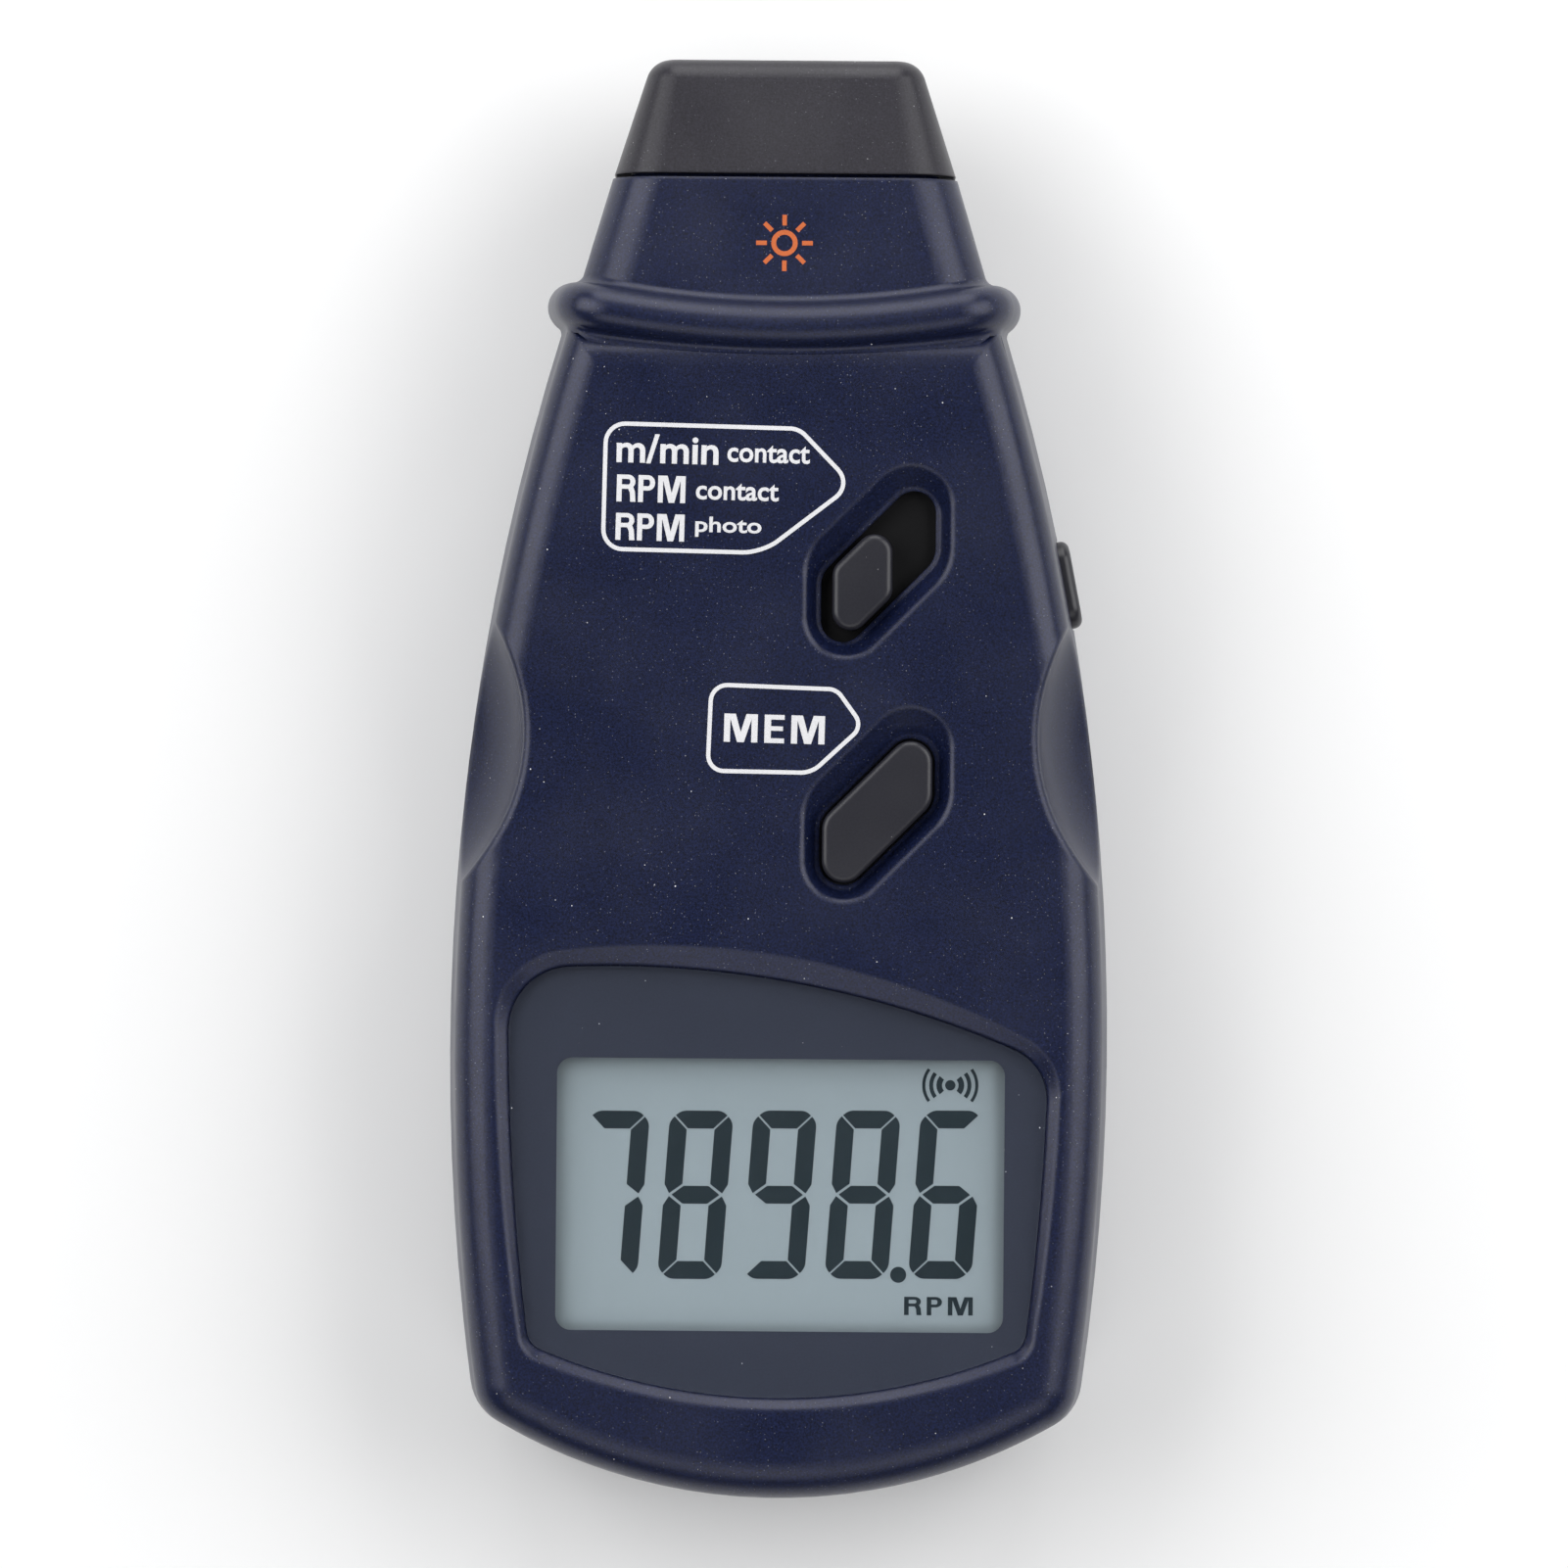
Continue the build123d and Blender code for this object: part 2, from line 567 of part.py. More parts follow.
def head_hood():
    """The tapered cap over the sensing head, open at its foot and with a port in its end."""
    shell = head(0, HOOD_Y, HEAD_Y)
    tip = shell.edges().filter_by(lambda e: e.bounding_box().min.Y > HEAD_Y - 0.01)
    shell = fillet(tip, HOOD_END_R)
    shell -= head(HOOD_WALL, HOOD_Y - 1, HEAD_Y - HOOD_WALL)
    frame = Plane(origin=(0, 0, OPTICS_Z), x_dir=(1, 0, 0), z_dir=(0, 1, 0))
    return shell - extrude(frame * RectangleRounded(PORT_W, PORT_H, PORT_R), HEAD_Y + 1)


def along_y(sketch, x, z, start, end):
    """An outline solid along Y between two stations."""
    frame = Plane(origin=(x, start, z), x_dir=(1, 0, 0), z_dir=(0, 1, 0))
    return extrude(frame * sketch, end - start)


def optical_window():
    pane = RectangleRounded(PORT_W + 2 * PORT_REST, PORT_H + 2 * PORT_REST, PORT_R + PORT_REST)
    end = HEAD_Y - HOOD_WALL
    return along_y(pane, 0, OPTICS_Z, end - PORT_PANE_T, end)


def optics_block():
    """The dark carrier of the laser and the receiver, held in the bore of the spigot."""
    inset = HOOD_WALL + HOOD_FIT + SPIGOT_WALL + GAP
    carrier = head(inset, OPTICS_BACK_Y, OPTICS_FRONT_Y)
    carrier -= along_y(Circle(LASER_D / 2), LASER_X, OPTICS_Z, OPTICS_BACK_Y, OPTICS_FRONT_Y)
    seat = OPTICS_BACK_Y + DIODE_L / 2
    carrier -= along_y(Circle(DIODE_D / 2), RECEIVER_X, OPTICS_Z, OPTICS_BACK_Y, seat)
    return carrier - along_y(Circle(RECEIVER_D / 2), RECEIVER_X, OPTICS_Z, seat, OPTICS_FRONT_Y)


def optics():
    laser_end = OPTICS_FRONT_Y - LASER_LENS_T
    barrel = along_y(Circle(LASER_D / 2), LASER_X, OPTICS_Z, laser_end - LASER_L, laser_end)
    lens = along_y(Circle(LASER_D / 2), LASER_X, OPTICS_Z, laser_end, OPTICS_FRONT_Y)
    lens = fillet(lens.edges().sort_by(Axis.Y)[-1], LASER_LENS_R)
    crown_y = OPTICS_FRONT_Y - RECEIVER_LENS_T
    crown = along_y(Circle(RECEIVER_D / 2), RECEIVER_X, OPTICS_Z, crown_y, OPTICS_FRONT_Y)
    crown &= Pos(RECEIVER_X, OPTICS_FRONT_Y - RECEIVER_BALL_R, OPTICS_Z) * Sphere(RECEIVER_BALL_R)
    seat = OPTICS_BACK_Y + DIODE_L / 2
    diode = along_y(Circle(DIODE_D / 2), RECEIVER_X, OPTICS_Z, seat - DIODE_L, seat)
    diode += Pos(RECEIVER_X, seat, OPTICS_Z) * Sphere(DIODE_D / 2)
    return {"laser_module": barrel, "laser_lens": lens, "receiver_lens": crown, "photodiode": diode}


def wire(points):
    """A thin lead along straight runs joined by arcs."""
    path = FilletPolyline(*points, radius=WIRE_BEND)
    return sweep(Plane(origin=path @ 0, z_dir=path % 0) * Circle(WIRE_R), path=path)


def leads(x, start, spread):
    """A pair of leads from the head to the underside of the board."""
    pair = []
    for side in (-spread, spread):
        end_y = BOARD_TOP_Y - 2
        pair.append(wire([(x + side, start, OPTICS_Z - 1), (x + side, end_y, OPTICS_Z - 1),
                          (x + side, end_y, BOARD_LOW_Z)]))
    return pair


def display_window():
    pane = plate(window_outline(), WINDOW_Z, STEP_Z)
    return chamfer(pane.edges().filter_by(lambda e: e.bounding_box().min.Z > STEP_Z - 0.01), WINDOW_CHAMFER)


def window_adhesive():
    opening = RectangleRounded(VIEW_W + 2 * VIEW_EDGE, VIEW_H + 2 * VIEW_EDGE, VIEW_EDGE)
    return plate(window_outline(-GAP) - Pos(LCD_X, LCD_Y) * opening, LEDGE_Z, WINDOW_Z)


def display_rect(width, height, low, high):
    return plate(Pos(LCD_X, LCD_Y) * Rectangle(width, height), low, high)


def frame_screw_spots():
    reach = LCD_H / 2 + GAP + FRAME_T + FRAME_EAR_R / 2
    return [(LCD_X + x, LCD_Y + up * reach) for x, up in FRAME_SCREWS]


def lcd_frame():
    """The moulded carrier that holds the display panel and its contact strips to the board."""
    width, height = LCD_W + 2 * GAP, LCD_H + 2 * GAP
    top = LCD_LOW_Z + FRAME_RISE
    frame = display_rect(width + 2 * FRAME_T, height + 2 * FRAME_T, BOARD_TOP_Z, top)
    for x, y in frame_screw_spots():
        frame += post(x, y, FRAME_EAR_R, BOARD_TOP_Z, LCD_LOW_Z)
    frame -= display_rect(width, height, LCD_LOW_Z, top)
    frame -= display_rect(STRIP_L + 2 * GAP, height, BOARD_TOP_Z, LCD_LOW_Z)
    for x, y in frame_screw_spots():
        frame -= post(x, y, FRAME_SCREW[2], BOARD_TOP_Z, BOARD_LOW_Z + FRAME_SCREW_L)
    return frame


def contact_strip(up):
    y = LCD_Y + up * (LCD_H - STRIP_W) / 2
    strip = Pos(LCD_X, y) * Rectangle(STRIP_L, STRIP_W)
    return plate(strip, BOARD_TOP_Z, LCD_LOW_Z)


def main_board():
    """The circuit board, cut back round the grips, the screw posts and the measuring key."""
    board = plate(plan(BOARD_INSET), BOARD_LOW_Z, BOARD_TOP_Z)
    board &= block((-FAR, FAR), (END_Y, BOARD_TOP_Y), (0, FAR))
    board -= grips(WALL + BOARD_CLEAR)
    for x, y in CASE_SCREWS:
        board -= post(x, y, CASE_BOSS_R + BOARD_CLEAR, 0, FAR)
    depth = SIDE_KEY_REST + SIDE_KEY_FLANGE_T + SIDE_KEY_TRAVEL + BOARD_CLEAR
    width = SIDE_KEY_W + 2 * (SIDE_KEY_FLANGE + BOARD_CLEAR)
    board -= on_side(Rectangle(width, FAR / 2), -depth, FAR / 8)
    for x, y in BOARD_SCREWS:
        board -= post(x, y, BOARD_SCREW[2] + GAP, 0, FAR)
    for x, y in frame_screw_spots():
        board -= post(x, y, FRAME_SCREW[2] + GAP, 0, FAR)
    return board


def under_board(x, y, width, length, height):
    """A block soldered to the underside of the board."""
    return block((x - width / 2, x + width / 2), (y - length / 2, y + length / 2),
                 (BOARD_LOW_Z - height, BOARD_LOW_Z))


def microcontroller():
    """A square chip with eight legs on each side."""
    x, y, body, foot = -2.0, LCD_Y + 2.0, 10.0, 1.4
    chip = under_board(x, y, body, body, CHIP_H)
    for turn in (0, 90):
        for index in range(8):
            offset = (index - 3.5) * 1.1
            leg = Box(body + 2 * foot, 0.4, 0.3)
            chip += Pos(x, y, BOARD_LOW_Z - 0.15) * Rot(0, 0, turn) * Pos(0, offset) * leg
    return chip


def board_parts():
    y = CASE_TOP_Y
    can = plate(Pos(-12, y - 52) * SlotOverall(11, 4.6), BOARD_LOW_Z - 3.4, BOARD_LOW_Z)
    tank = Pos(-8, y - 38, BOARD_LOW_Z - 2.5) * Rot(0, 90, 0) * Cylinder(2.5, 11)
    spots = [(-22 + 4 * column, y - 60 - 3 * row) for column in range(4) for row in range(2)]
    chips = [under_board(*spot, 2.0, 1.2, 0.6) for spot in spots]
    return {
        "crystal": can,
        "storage_capacitor": tank,
        "chip_resistors": chips,
        "voltage_regulator": under_board(6, y - 62, 4.6, 3.6, 1.5),
    }


def shifted(distance):
    """The switch centre moved along its slanted travel."""
    return (SWITCH[0] + distance * SLANT, SWITCH[1] + distance * SLANT)


def slanted_block(centre, along, across, low, high):
    x, y = centre
    return Pos(x, y, (low + high) / 2) * Rot(0, 0, 45) * Box(along, across, high - low)


def function_knob():
    """The sliding knob, with a neck through the shutter and a fork over the switch lever."""
    centre = shifted(-KNOB_TRAVEL / 2)
    cap = plate(Pos(*centre) * lozenge(KNOB), SHUTTER_TOP_Z, KNOB_TOP_Z)
    cap = fillet(cap.edges().filter_by(lambda e: e.bounding_box().min.Z > KNOB_TOP_Z - 0.01), KNOB_EDGE_R)
    low = SWITCH_TOP_Z + SEAM
    cap += slanted_block(centre, KNOB_NECK, KNOB_NECK, low, SHUTTER_TOP_Z)
    return cap - slanted_block(centre, LEVER_W + 2 * LEVER_FIT, FAR / 8, low - 1, LEVER_TOP_Z + LEVER_FIT)


def switch_shutter():
    """The dark plate that keeps the slot closed wherever the knob stands."""
    centre = shifted(-KNOB_TRAVEL / 2)
    cover = KNOB_TRAVEL / 2 * SLANT + SHUTTER_LAP
    width = SLOT[0] + 2 * cover
    side = SLOT[1] + 2 * SHUTTER_LAP * sqrt(2)
    outline = Pos(*centre) * lozenge((width, side, SLOT[2], SLOT[3]))
    sheet = plate(outline, SHUTTER_TOP_Z - SHUTTER_T, SHUTTER_TOP_Z)
    hole = KNOB_NECK + LEVER_FIT
    return sheet - slanted_block(centre, hole, hole, 0, FAR)


def slide_switch():
    """A board-mounted slide switch: its metal case and the slider with its lever."""
    length, width, skin = SWITCH_CASE[0], SWITCH_CASE[1], SWITCH_SKIN
    shell = slanted_block(SWITCH, length, width, BOARD_TOP_Z, SWITCH_TOP_Z)
    room = (length - 2 * skin, width - 2 * skin)
    shell -= slanted_block(SWITCH, *room, BOARD_TOP_Z + skin, SWITCH_TOP_Z - skin)
    opening = (KNOB_TRAVEL + 2 * LEVER_W, LEVER_W + 4 * GAP)
    shell -= slanted_block(SWITCH, *opening, SWITCH_TOP_Z - skin, SWITCH_TOP_Z)
    centre = shifted(-KNOB_TRAVEL / 2)
    inner = (BOARD_TOP_Z + skin + GAP, SWITCH_TOP_Z - skin - GAP)
    slider = slanted_block(centre, 3 * LEVER_W, room[1] - 2 * GAP, *inner)
    slider += slanted_block(centre, LEVER_W, LEVER_W, inner[1], LEVER_TOP_Z)
    return shell, slider


def mem_key():
    """The slanted key: a hollow cap with a flange under the face and a stem to its switch."""
    flange_top = RECESS_LOW_Z - GAP
    flange_low = flange_top - KEY_FLANGE_T
    cap = plate(Pos(*KEY) * lozenge(KEY_CAP), flange_low, KEY_TOP_Z)
    cap = fillet(cap.edges().filter_by(lambda e: e.bounding_box().min.Z > KEY_TOP_Z - 0.01), KEY_EDGE_R)
    cap += plate(Pos(*KEY) * lozenge(KEY_CAP, KEY_FLANGE + GAP), flange_low, flange_top)
    cap -= plate(Pos(*KEY) * lozenge(KEY_CAP, -KEY_SKIN), flange_low, KEY_TOP_Z - KEY_SKIN)
    return cap + post(*KEY, KEY_STEM_R, BOARD_TOP_Z + TACT_H + TACT_RISE, KEY_TOP_Z - KEY_SKIN)


def tact_case():
    """The square case of a tact switch standing on the origin, with a well for its plunger."""
    body = plate(Rectangle(TACT_W, TACT_W), 0, TACT_H)
    body = chamfer(body.edges().filter_by(Axis.Z), TACT_CORNER)
    return body - post(0, 0, TACT_PLUNGER_R + GAP, TACT_FLOOR, TACT_H)


def tact_plunger(travel):
    return post(0, 0, TACT_PLUNGER_R, TACT_FLOOR + travel + GAP, TACT_H + TACT_RISE)


def side_tact_place():
    """Where the measuring switch sits: under the board, with its plunger facing the key."""
    rise = BOARD_LOW_Z - TACT_W / 2 - PARTING_Z
    return side_frame().offset(-SIDE_TACT_DEPTH - TACT_H) * Pos(0, rise)


def measure_key():
    rest = -SIDE_KEY_REST
    key = on_side(RectangleRounded(SIDE_KEY_W, SIDE_KEY_H, SIDE_KEY_R), rest, SIDE_KEY_OUT)
    face = key.faces().sort_by(lambda f: (f.center() - side_frame().origin).dot(side_frame().z_dir))[-1]
    key = fillet(face.edges(), SIDE_KEY_EDGE_R)
    flange = RectangleRounded(SIDE_KEY_W + 2 * SIDE_KEY_FLANGE, SIDE_KEY_H + 2 * SIDE_KEY_FLANGE, SIDE_KEY_R)
    inner = rest - SIDE_KEY_FLANGE_T
    key += on_side(flange, inner, rest)
    rise = BOARD_LOW_Z - TACT_W / 2 - PARTING_Z
    return key + on_side(Pos(0, rise) * Circle(SIDE_KEY_STEM), TACT_RISE - SIDE_TACT_DEPTH, inner)


def aa_cell(index):
    """One round cell. Neighbours lie head to tail."""
    up = index % 2 == 0
    tail = PLATE_T + SPRING_L
    can = post(0, 0, CELL_D / 2, 0, CELL_L - NUB_L)
    can = fillet(can.edges(), CAN_EDGE_R) + post(0, 0, NUB_D / 2, CELL_L - NUB_L, CELL_L)
    x = cell_x(index)
    if up:
        return Plane(origin=(x, BAY_BOTTOM_Y + tail, CELL_Z), x_dir=(1, 0, 0), z_dir=(0, 1, 0)) * can
    return Plane(origin=(x, BAY_TOP_Y - tail, CELL_Z), x_dir=(1, 0, 0), z_dir=(0, -1, 0)) * can


def battery_spring(index):
    """A conical spring between the end plate and the flat end of a cell."""
    up = index % 2 == 0
    wire_r = SPRING_WIRE_R
    height = SPRING_L - 2 * wire_r
    coil = Helix(pitch=height / SPRING_TURNS, height=height, radius=SPRING_R, cone_angle=-SPRING_CONE)
    spring = sweep(Plane(origin=coil @ 0, z_dir=coil % 0) * Circle(wire_r), path=coil)
    spring = Pos(0, 0, wire_r) * spring
    x = cell_x(index)
    if up:
        return Plane(origin=(x, BAY_BOTTOM_Y + PLATE_T, CELL_Z), x_dir=(1, 0, 0), z_dir=(0, 1, 0)) * spring
    return Plane(origin=(x, BAY_TOP_Y - PLATE_T, CELL_Z), x_dir=(1, 0, 0), z_dir=(0, -1, 0)) * spring


def contact(first, last, at_top, tab):
    """A sprung-steel end plate across one or two cells, with a dimple for a positive end."""
    left, right = cell_x(first) - PLATE_W / 2, cell_x(last) + PLATE_W / 2
    wall = BAY_TOP_Y - PLATE_T if at_top else BAY_BOTTOM_Y
    sheet = block((left, right), (wall, wall + PLATE_T), (CELL_Z - PLATE_H / 2, CELL_Z + PLATE_H / 2))
    for index in range(first, last + 1):
        if (index % 2 == 0) == at_top:
            dome = post(0, 0, NUB_D / 2, 0, DIMPLE_H)
            dome = chamfer(dome.edges().sort_by(Axis.Z)[-1], DIMPLE_H / 2)
            y, way = (wall, -1) if at_top else (wall + PLATE_T, 1)
            sheet += Plane(origin=(cell_x(index), y, CELL_Z), x_dir=(1, 0, 0), z_dir=(0, way, 0)) * dome
    if tab:
        x = cell_x(first)
        sheet += block((x - TAB_HALF, x + TAB_HALF), (wall, wall + PLATE_T), (CELL_Z, PARTING_Z + TAB_RISE))
    return sheet


def battery_lead(index):
    x = cell_x(index)
    y = BAY_BOTTOM_Y + PLATE_T
    z = PARTING_Z + TAB_RISE - WIRE_R
    turn = y + 2 * WIRE_BEND
    return wire([(x, y, z), (x, turn, z), (x, turn, BOARD_LOW_Z)])


def battery_cover(outer):
    """The cover: a slice of the back with side rails, a tongue and thumb slots."""
    sheet = outer & block((-COVER_HALF, COVER_HALF), (-FAR, COVER_TOP_Y), (-1, COVER_T))
    rail_x = COVER_HALF + RAIL_OUT
    sheet += block((-rail_x, rail_x), (BAY_BOTTOM_Y, COVER_TOP_Y - RAIL_SETBACK), (COVER_T - RAIL_T, COVER_T))
    tongue_y = (COVER_TOP_Y - RAIL_OUT, COVER_TOP_Y + TONGUE_REACH)
    sheet += block((-TONGUE_HALF, TONGUE_HALF), tongue_y, (COVER_T - RAIL_T, COVER_T))
    for index in range(THUMB_SLOTS):
        y = COVER_TOP_Y - THUMB_SETBACK - index * THUMB_PITCH
        groove = Pos(0, y) * SlotOverall(2 * THUMB_HALF, THUMB_SLOT_W)
        sheet -= plate(groove, -1, THUMB_DEPTH)
    return sheet


def screw(x, y, size, seat, length, recess):
    """A pan-head screw driven upwards, with its head under the seat."""
    head_r, head_h, shank_r = size
    body = post(x, y, head_r, seat - head_h, seat)
    body = fillet(body.edges().sort_by(Axis.Z)[0], head_h / 3)
    for turn in (0, 90):
        cross = Pos(x, y, seat - head_h) * Rot(0, 0, turn) * Box(1.3 * head_r, 0.3 * head_r, recess)
        body -= cross
    return body + post(x, y, shank_r, seat, seat + length)


def screws():
    kinds = {
        "case_screws": (CASE_SCREWS, CASE_SCREW, CASE_SCREW_SEAT_Z, CASE_SCREW_L, 1.6),
        "board_screws": (BOARD_SCREWS, BOARD_SCREW, BOARD_LOW_Z, BOARD_SCREW_L, 1.2),
        "display_screws": (frame_screw_spots(), FRAME_SCREW, BOARD_LOW_Z, FRAME_SCREW_L, 1.0),
    }
    return {name: [screw(x, y, size, seat, length - SCREW_TIP_GAP, recess) for x, y in spots]
            for name, (spots, size, seat, length, recess) in kinds.items()}


def tachometer():
    """Every separate piece, by name."""
    outer, inner = outer_form(), inner_form()
    pieces = {
        "front_shell": front_shell(outer, inner),
        "rear_shell": rear_shell(outer, inner),
        "head_hood": head_hood(),
        "optical_window": optical_window(),
        "optics_block": optics_block(),
        "laser_leads": leads(LASER_X, OPTICS_FRONT_Y - LASER_LENS_T - LASER_L, 1.2),
        "receiver_leads": leads(RECEIVER_X, OPTICS_BACK_Y - DIODE_L / 2, 1.27),
        "display_window": display_window(),
        "window_adhesive": window_adhesive(),
        "lcd_panel": display_rect(LCD_W, LCD_H, LCD_LOW_Z, LCD_TOP_Z),
        "lcd_frame": lcd_frame(),
        "contact_strip_upper": contact_strip(1),
        "contact_strip_lower": contact_strip(-1),
        "main_board": main_board(),
        "microcontroller": microcontroller(),
        "function_knob": function_knob(),
        "switch_shutter": switch_shutter(),
        "mem_key": mem_key(),
        "mem_tact_switch": Pos(*KEY, BOARD_TOP_Z) * tact_case(),
        "mem_plunger": Pos(*KEY, BOARD_TOP_Z) * tact_plunger(KEY_TRAVEL),
        "measure_key": measure_key(),
        "measure_tact_switch": side_tact_place() * tact_case(),
        "measure_plunger": side_tact_place() * tact_plunger(SIDE_KEY_TRAVEL),
        "battery_cover": battery_cover(outer),
        "contact_upper_left": contact(0, 1, True, False),
        "contact_upper_right": contact(2, 3, True, False),
        "contact_lower_left": contact(0, 0, False, True),
        "contact_lower_middle": contact(1, 2, False, False),
        "contact_lower_right": contact(3, 3, False, True),
        "battery_lead_black": battery_lead(0),
        "battery_lead_red": battery_lead(3),
    }
    pieces["slide_switch_case"], pieces["slide_switch_slider"] = slide_switch()
    for index in range(4):
        pieces[f"aa_cell_{index + 1}"] = aa_cell(index)
        pieces[f"battery_spring_{index + 1}"] = battery_spring(index)
    pieces.update(optics())
    pieces.update(board_parts())
    pieces.update(screws())
    return pieces


os.makedirs("parts", exist_ok=True)
for name, shape in tachometer().items():
    solids = shape if isinstance(shape, list) else [shape]
    model = solids[0] if len(solids) == 1 else Compound(children=[Compound(s.wrapped) for s in solids])
    export_step(model, f"parts/{name}.step")
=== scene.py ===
"""Looks of a handheld digital tachometer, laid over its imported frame."""

import logging
import math
from dataclasses import dataclass, field, replace
from enum import Enum

import bmesh
import bpy
from mathutils import Matrix, Vector
from mathutils.bvhtree import BVHTree
from mathutils.geometry import interpolate_bezier

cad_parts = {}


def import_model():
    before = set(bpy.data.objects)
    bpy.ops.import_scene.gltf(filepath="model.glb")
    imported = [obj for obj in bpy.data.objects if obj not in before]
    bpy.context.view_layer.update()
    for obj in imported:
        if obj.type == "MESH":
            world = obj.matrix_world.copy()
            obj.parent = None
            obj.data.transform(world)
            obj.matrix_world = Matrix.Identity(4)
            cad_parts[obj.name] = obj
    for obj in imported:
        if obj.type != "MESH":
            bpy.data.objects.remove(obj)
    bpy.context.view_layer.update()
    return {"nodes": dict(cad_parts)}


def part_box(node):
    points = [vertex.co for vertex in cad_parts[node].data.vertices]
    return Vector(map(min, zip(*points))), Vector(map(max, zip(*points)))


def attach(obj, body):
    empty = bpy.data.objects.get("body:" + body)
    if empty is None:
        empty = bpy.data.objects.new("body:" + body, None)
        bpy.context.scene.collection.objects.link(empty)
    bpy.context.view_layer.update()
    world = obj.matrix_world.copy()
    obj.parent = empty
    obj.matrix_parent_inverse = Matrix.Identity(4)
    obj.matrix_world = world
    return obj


LOG = logging.getLogger("tachometer")

MM = 0.001
CAMERA_HEIGHT = 1000.0  # mm above the case's middle level
MIDDLE_LEVEL = 19.0  # mm above the bench
PIXEL = 0.10944  # mm for one pixel of the photograph at the middle level
LEAN = math.radians(0.45)  # the case leans to the right in the frame
PRINT_TURN = math.radians(-1.15)  # the legends are printed a little askew
HALF_FRAME = 800.5  # px
VIEW_CENTRE = (0.38, -0.22)  # mm, where the camera's axis meets the case
CORNER_STEPS = 8  # of a round corner in a flat outline
SKY = 0.2  # m, above everything
SHARP = math.radians(30)  # edges that bend more than this stay sharp

SLOW_PITCH = 60.0  # waves of tone in a metre
FINE_PITCH = 4300.0  # waves of the grain's own tone
SHEEN_PITCH = 90.0  # waves of gloss
DUST_PITCH = 620.0  # cells that may hold a speck
DUST_COLOUR = (0.8, 0.8, 0.82)
# Painted highlights: pale points mixed into a finish's colour stand in for glints of light on the grain
GLINT_PITCH = 2700.0  # cells that may hold a painted glint, a pale point that stands in for a highlight
GLINT_SIZE = 0.2  # largest radius of a point as a share of its cell
PAINTED_GLINT_COLOUR = (0.8, 0.82, 0.9)
EDGE_SAMPLES = 6

Colour = tuple[float, float, float]


def pixel_size(level: float) -> float:
    """Size in millimetres of one pixel of the photograph at a level in millimetres."""
    return PIXEL * (CAMERA_HEIGHT + MIDDLE_LEVEL - level) / CAMERA_HEIGHT


def face_pixel(level: float) -> float:
    """Size in metres of one pixel of the photograph at a level in millimetres."""
    return pixel_size(level) * MM


def spot(px: float, py: float, level: float) -> Vector:
    """Place of a pixel of the photograph on one level of the object.

    Args:
        px: Column in the photograph.
        py: Row in the photograph.
        level: Height above the bench in millimetres.

    Returns:
        The point in metres.
    """
    scale = pixel_size(level)
    u = (px - HALF_FRAME) * scale
    v = (HALF_FRAME - py) * scale
    x = u * math.cos(LEAN) - v * math.sin(LEAN) + VIEW_CENTRE[0]
    y = u * math.sin(LEAN) + v * math.cos(LEAN) + VIEW_CENTRE[1]
    return Vector((x, y, level)) * MM


def ground(px: float, py: float, level: float) -> Vector:
    """Place under a pixel seen at a level, on the ground plane."""
    return spot(px, py, level) * Vector((1, 1, 0))


class Wiring:
    """Adds and joins the nodes of one node tree."""

    def __init__(self, tree: bpy.types.NodeTree) -> None:
        """Start on a material's, a world's or a group's node tree."""
        self.tree = tree

    def find(self, kind: str) -> bpy.types.Node:
        """The tree's first node of a type."""
        return next(node for node in self.tree.nodes if node.type == kind)

    def feed(self, node: bpy.types.Node, inputs: dict[str | int, object]) -> None:
        """Give a node's inputs what they read.

        Args:
            node: The node.
            inputs: A socket to join, or a number or colour to set, by the input's name or number.
        """
        for name, value in inputs.items():
            target = node.inputs[name]
            if isinstance(value, bpy.types.NodeSocket):
                self.tree.links.new(value, target)
            elif target.type == "RGBA":
                target.default_value = (*value, 1.0)
            else:
                target.default_value = value

    def node(self, kind: str, inputs: dict[str | int, object] | None = None,
             **facts: object) -> bpy.types.Node:
        """Add a node.

        Args:
            kind: The node's type without its ShaderNode prefix.
            inputs: What its inputs read, as for feed.
            **facts: The node's own properties.

        Returns:
            The new node.
        """
        made = self.tree.nodes.new("ShaderNode" + kind)
        for name, value in facts.items():
            setattr(made, name, value)
        self.feed(made, inputs or {})
        return made

    def sum(self, operation: str, first: object, second: object) -> bpy.types.NodeSocket:
        """Result of a Math node's operation on two sockets or numbers."""
        return self.node("Math", {0: first, 1: second}, operation=operation).outputs[0]

    def ramp(self, source: bpy.types.NodeSocket, low: float, high: float, start: float, end: float,
             kind: str = "LINEAR") -> bpy.types.NodeSocket:
        """A value mapped from low..high to start..end, straight or by another kind of step."""
        span = {"Value": source, "From Min": low, "From Max": high, "To Min": start, "To Max": end}
        return self.node("MapRange", span, interpolation_type=kind).outputs["Result"]

    def blend(self, mask: bpy.types.NodeSocket, first: object, second: object) -> bpy.types.NodeSocket:
        """Mix of two colours or their sockets, where the mask is the second one's share."""
        return self.node("Mix", {0: mask, 6: first, 7: second}, data_type="RGBA").outputs[2]


class Effect(Enum):
    """Surface effects that several finishes share."""

    GRAIN = "moulded_grain"
    # used for real dust and for painted highlights (glint points)
    SPECKS = "dust_and_glint_specks"
    DRIFT = "tone_drift"
    SHEEN = "handled_sheen"


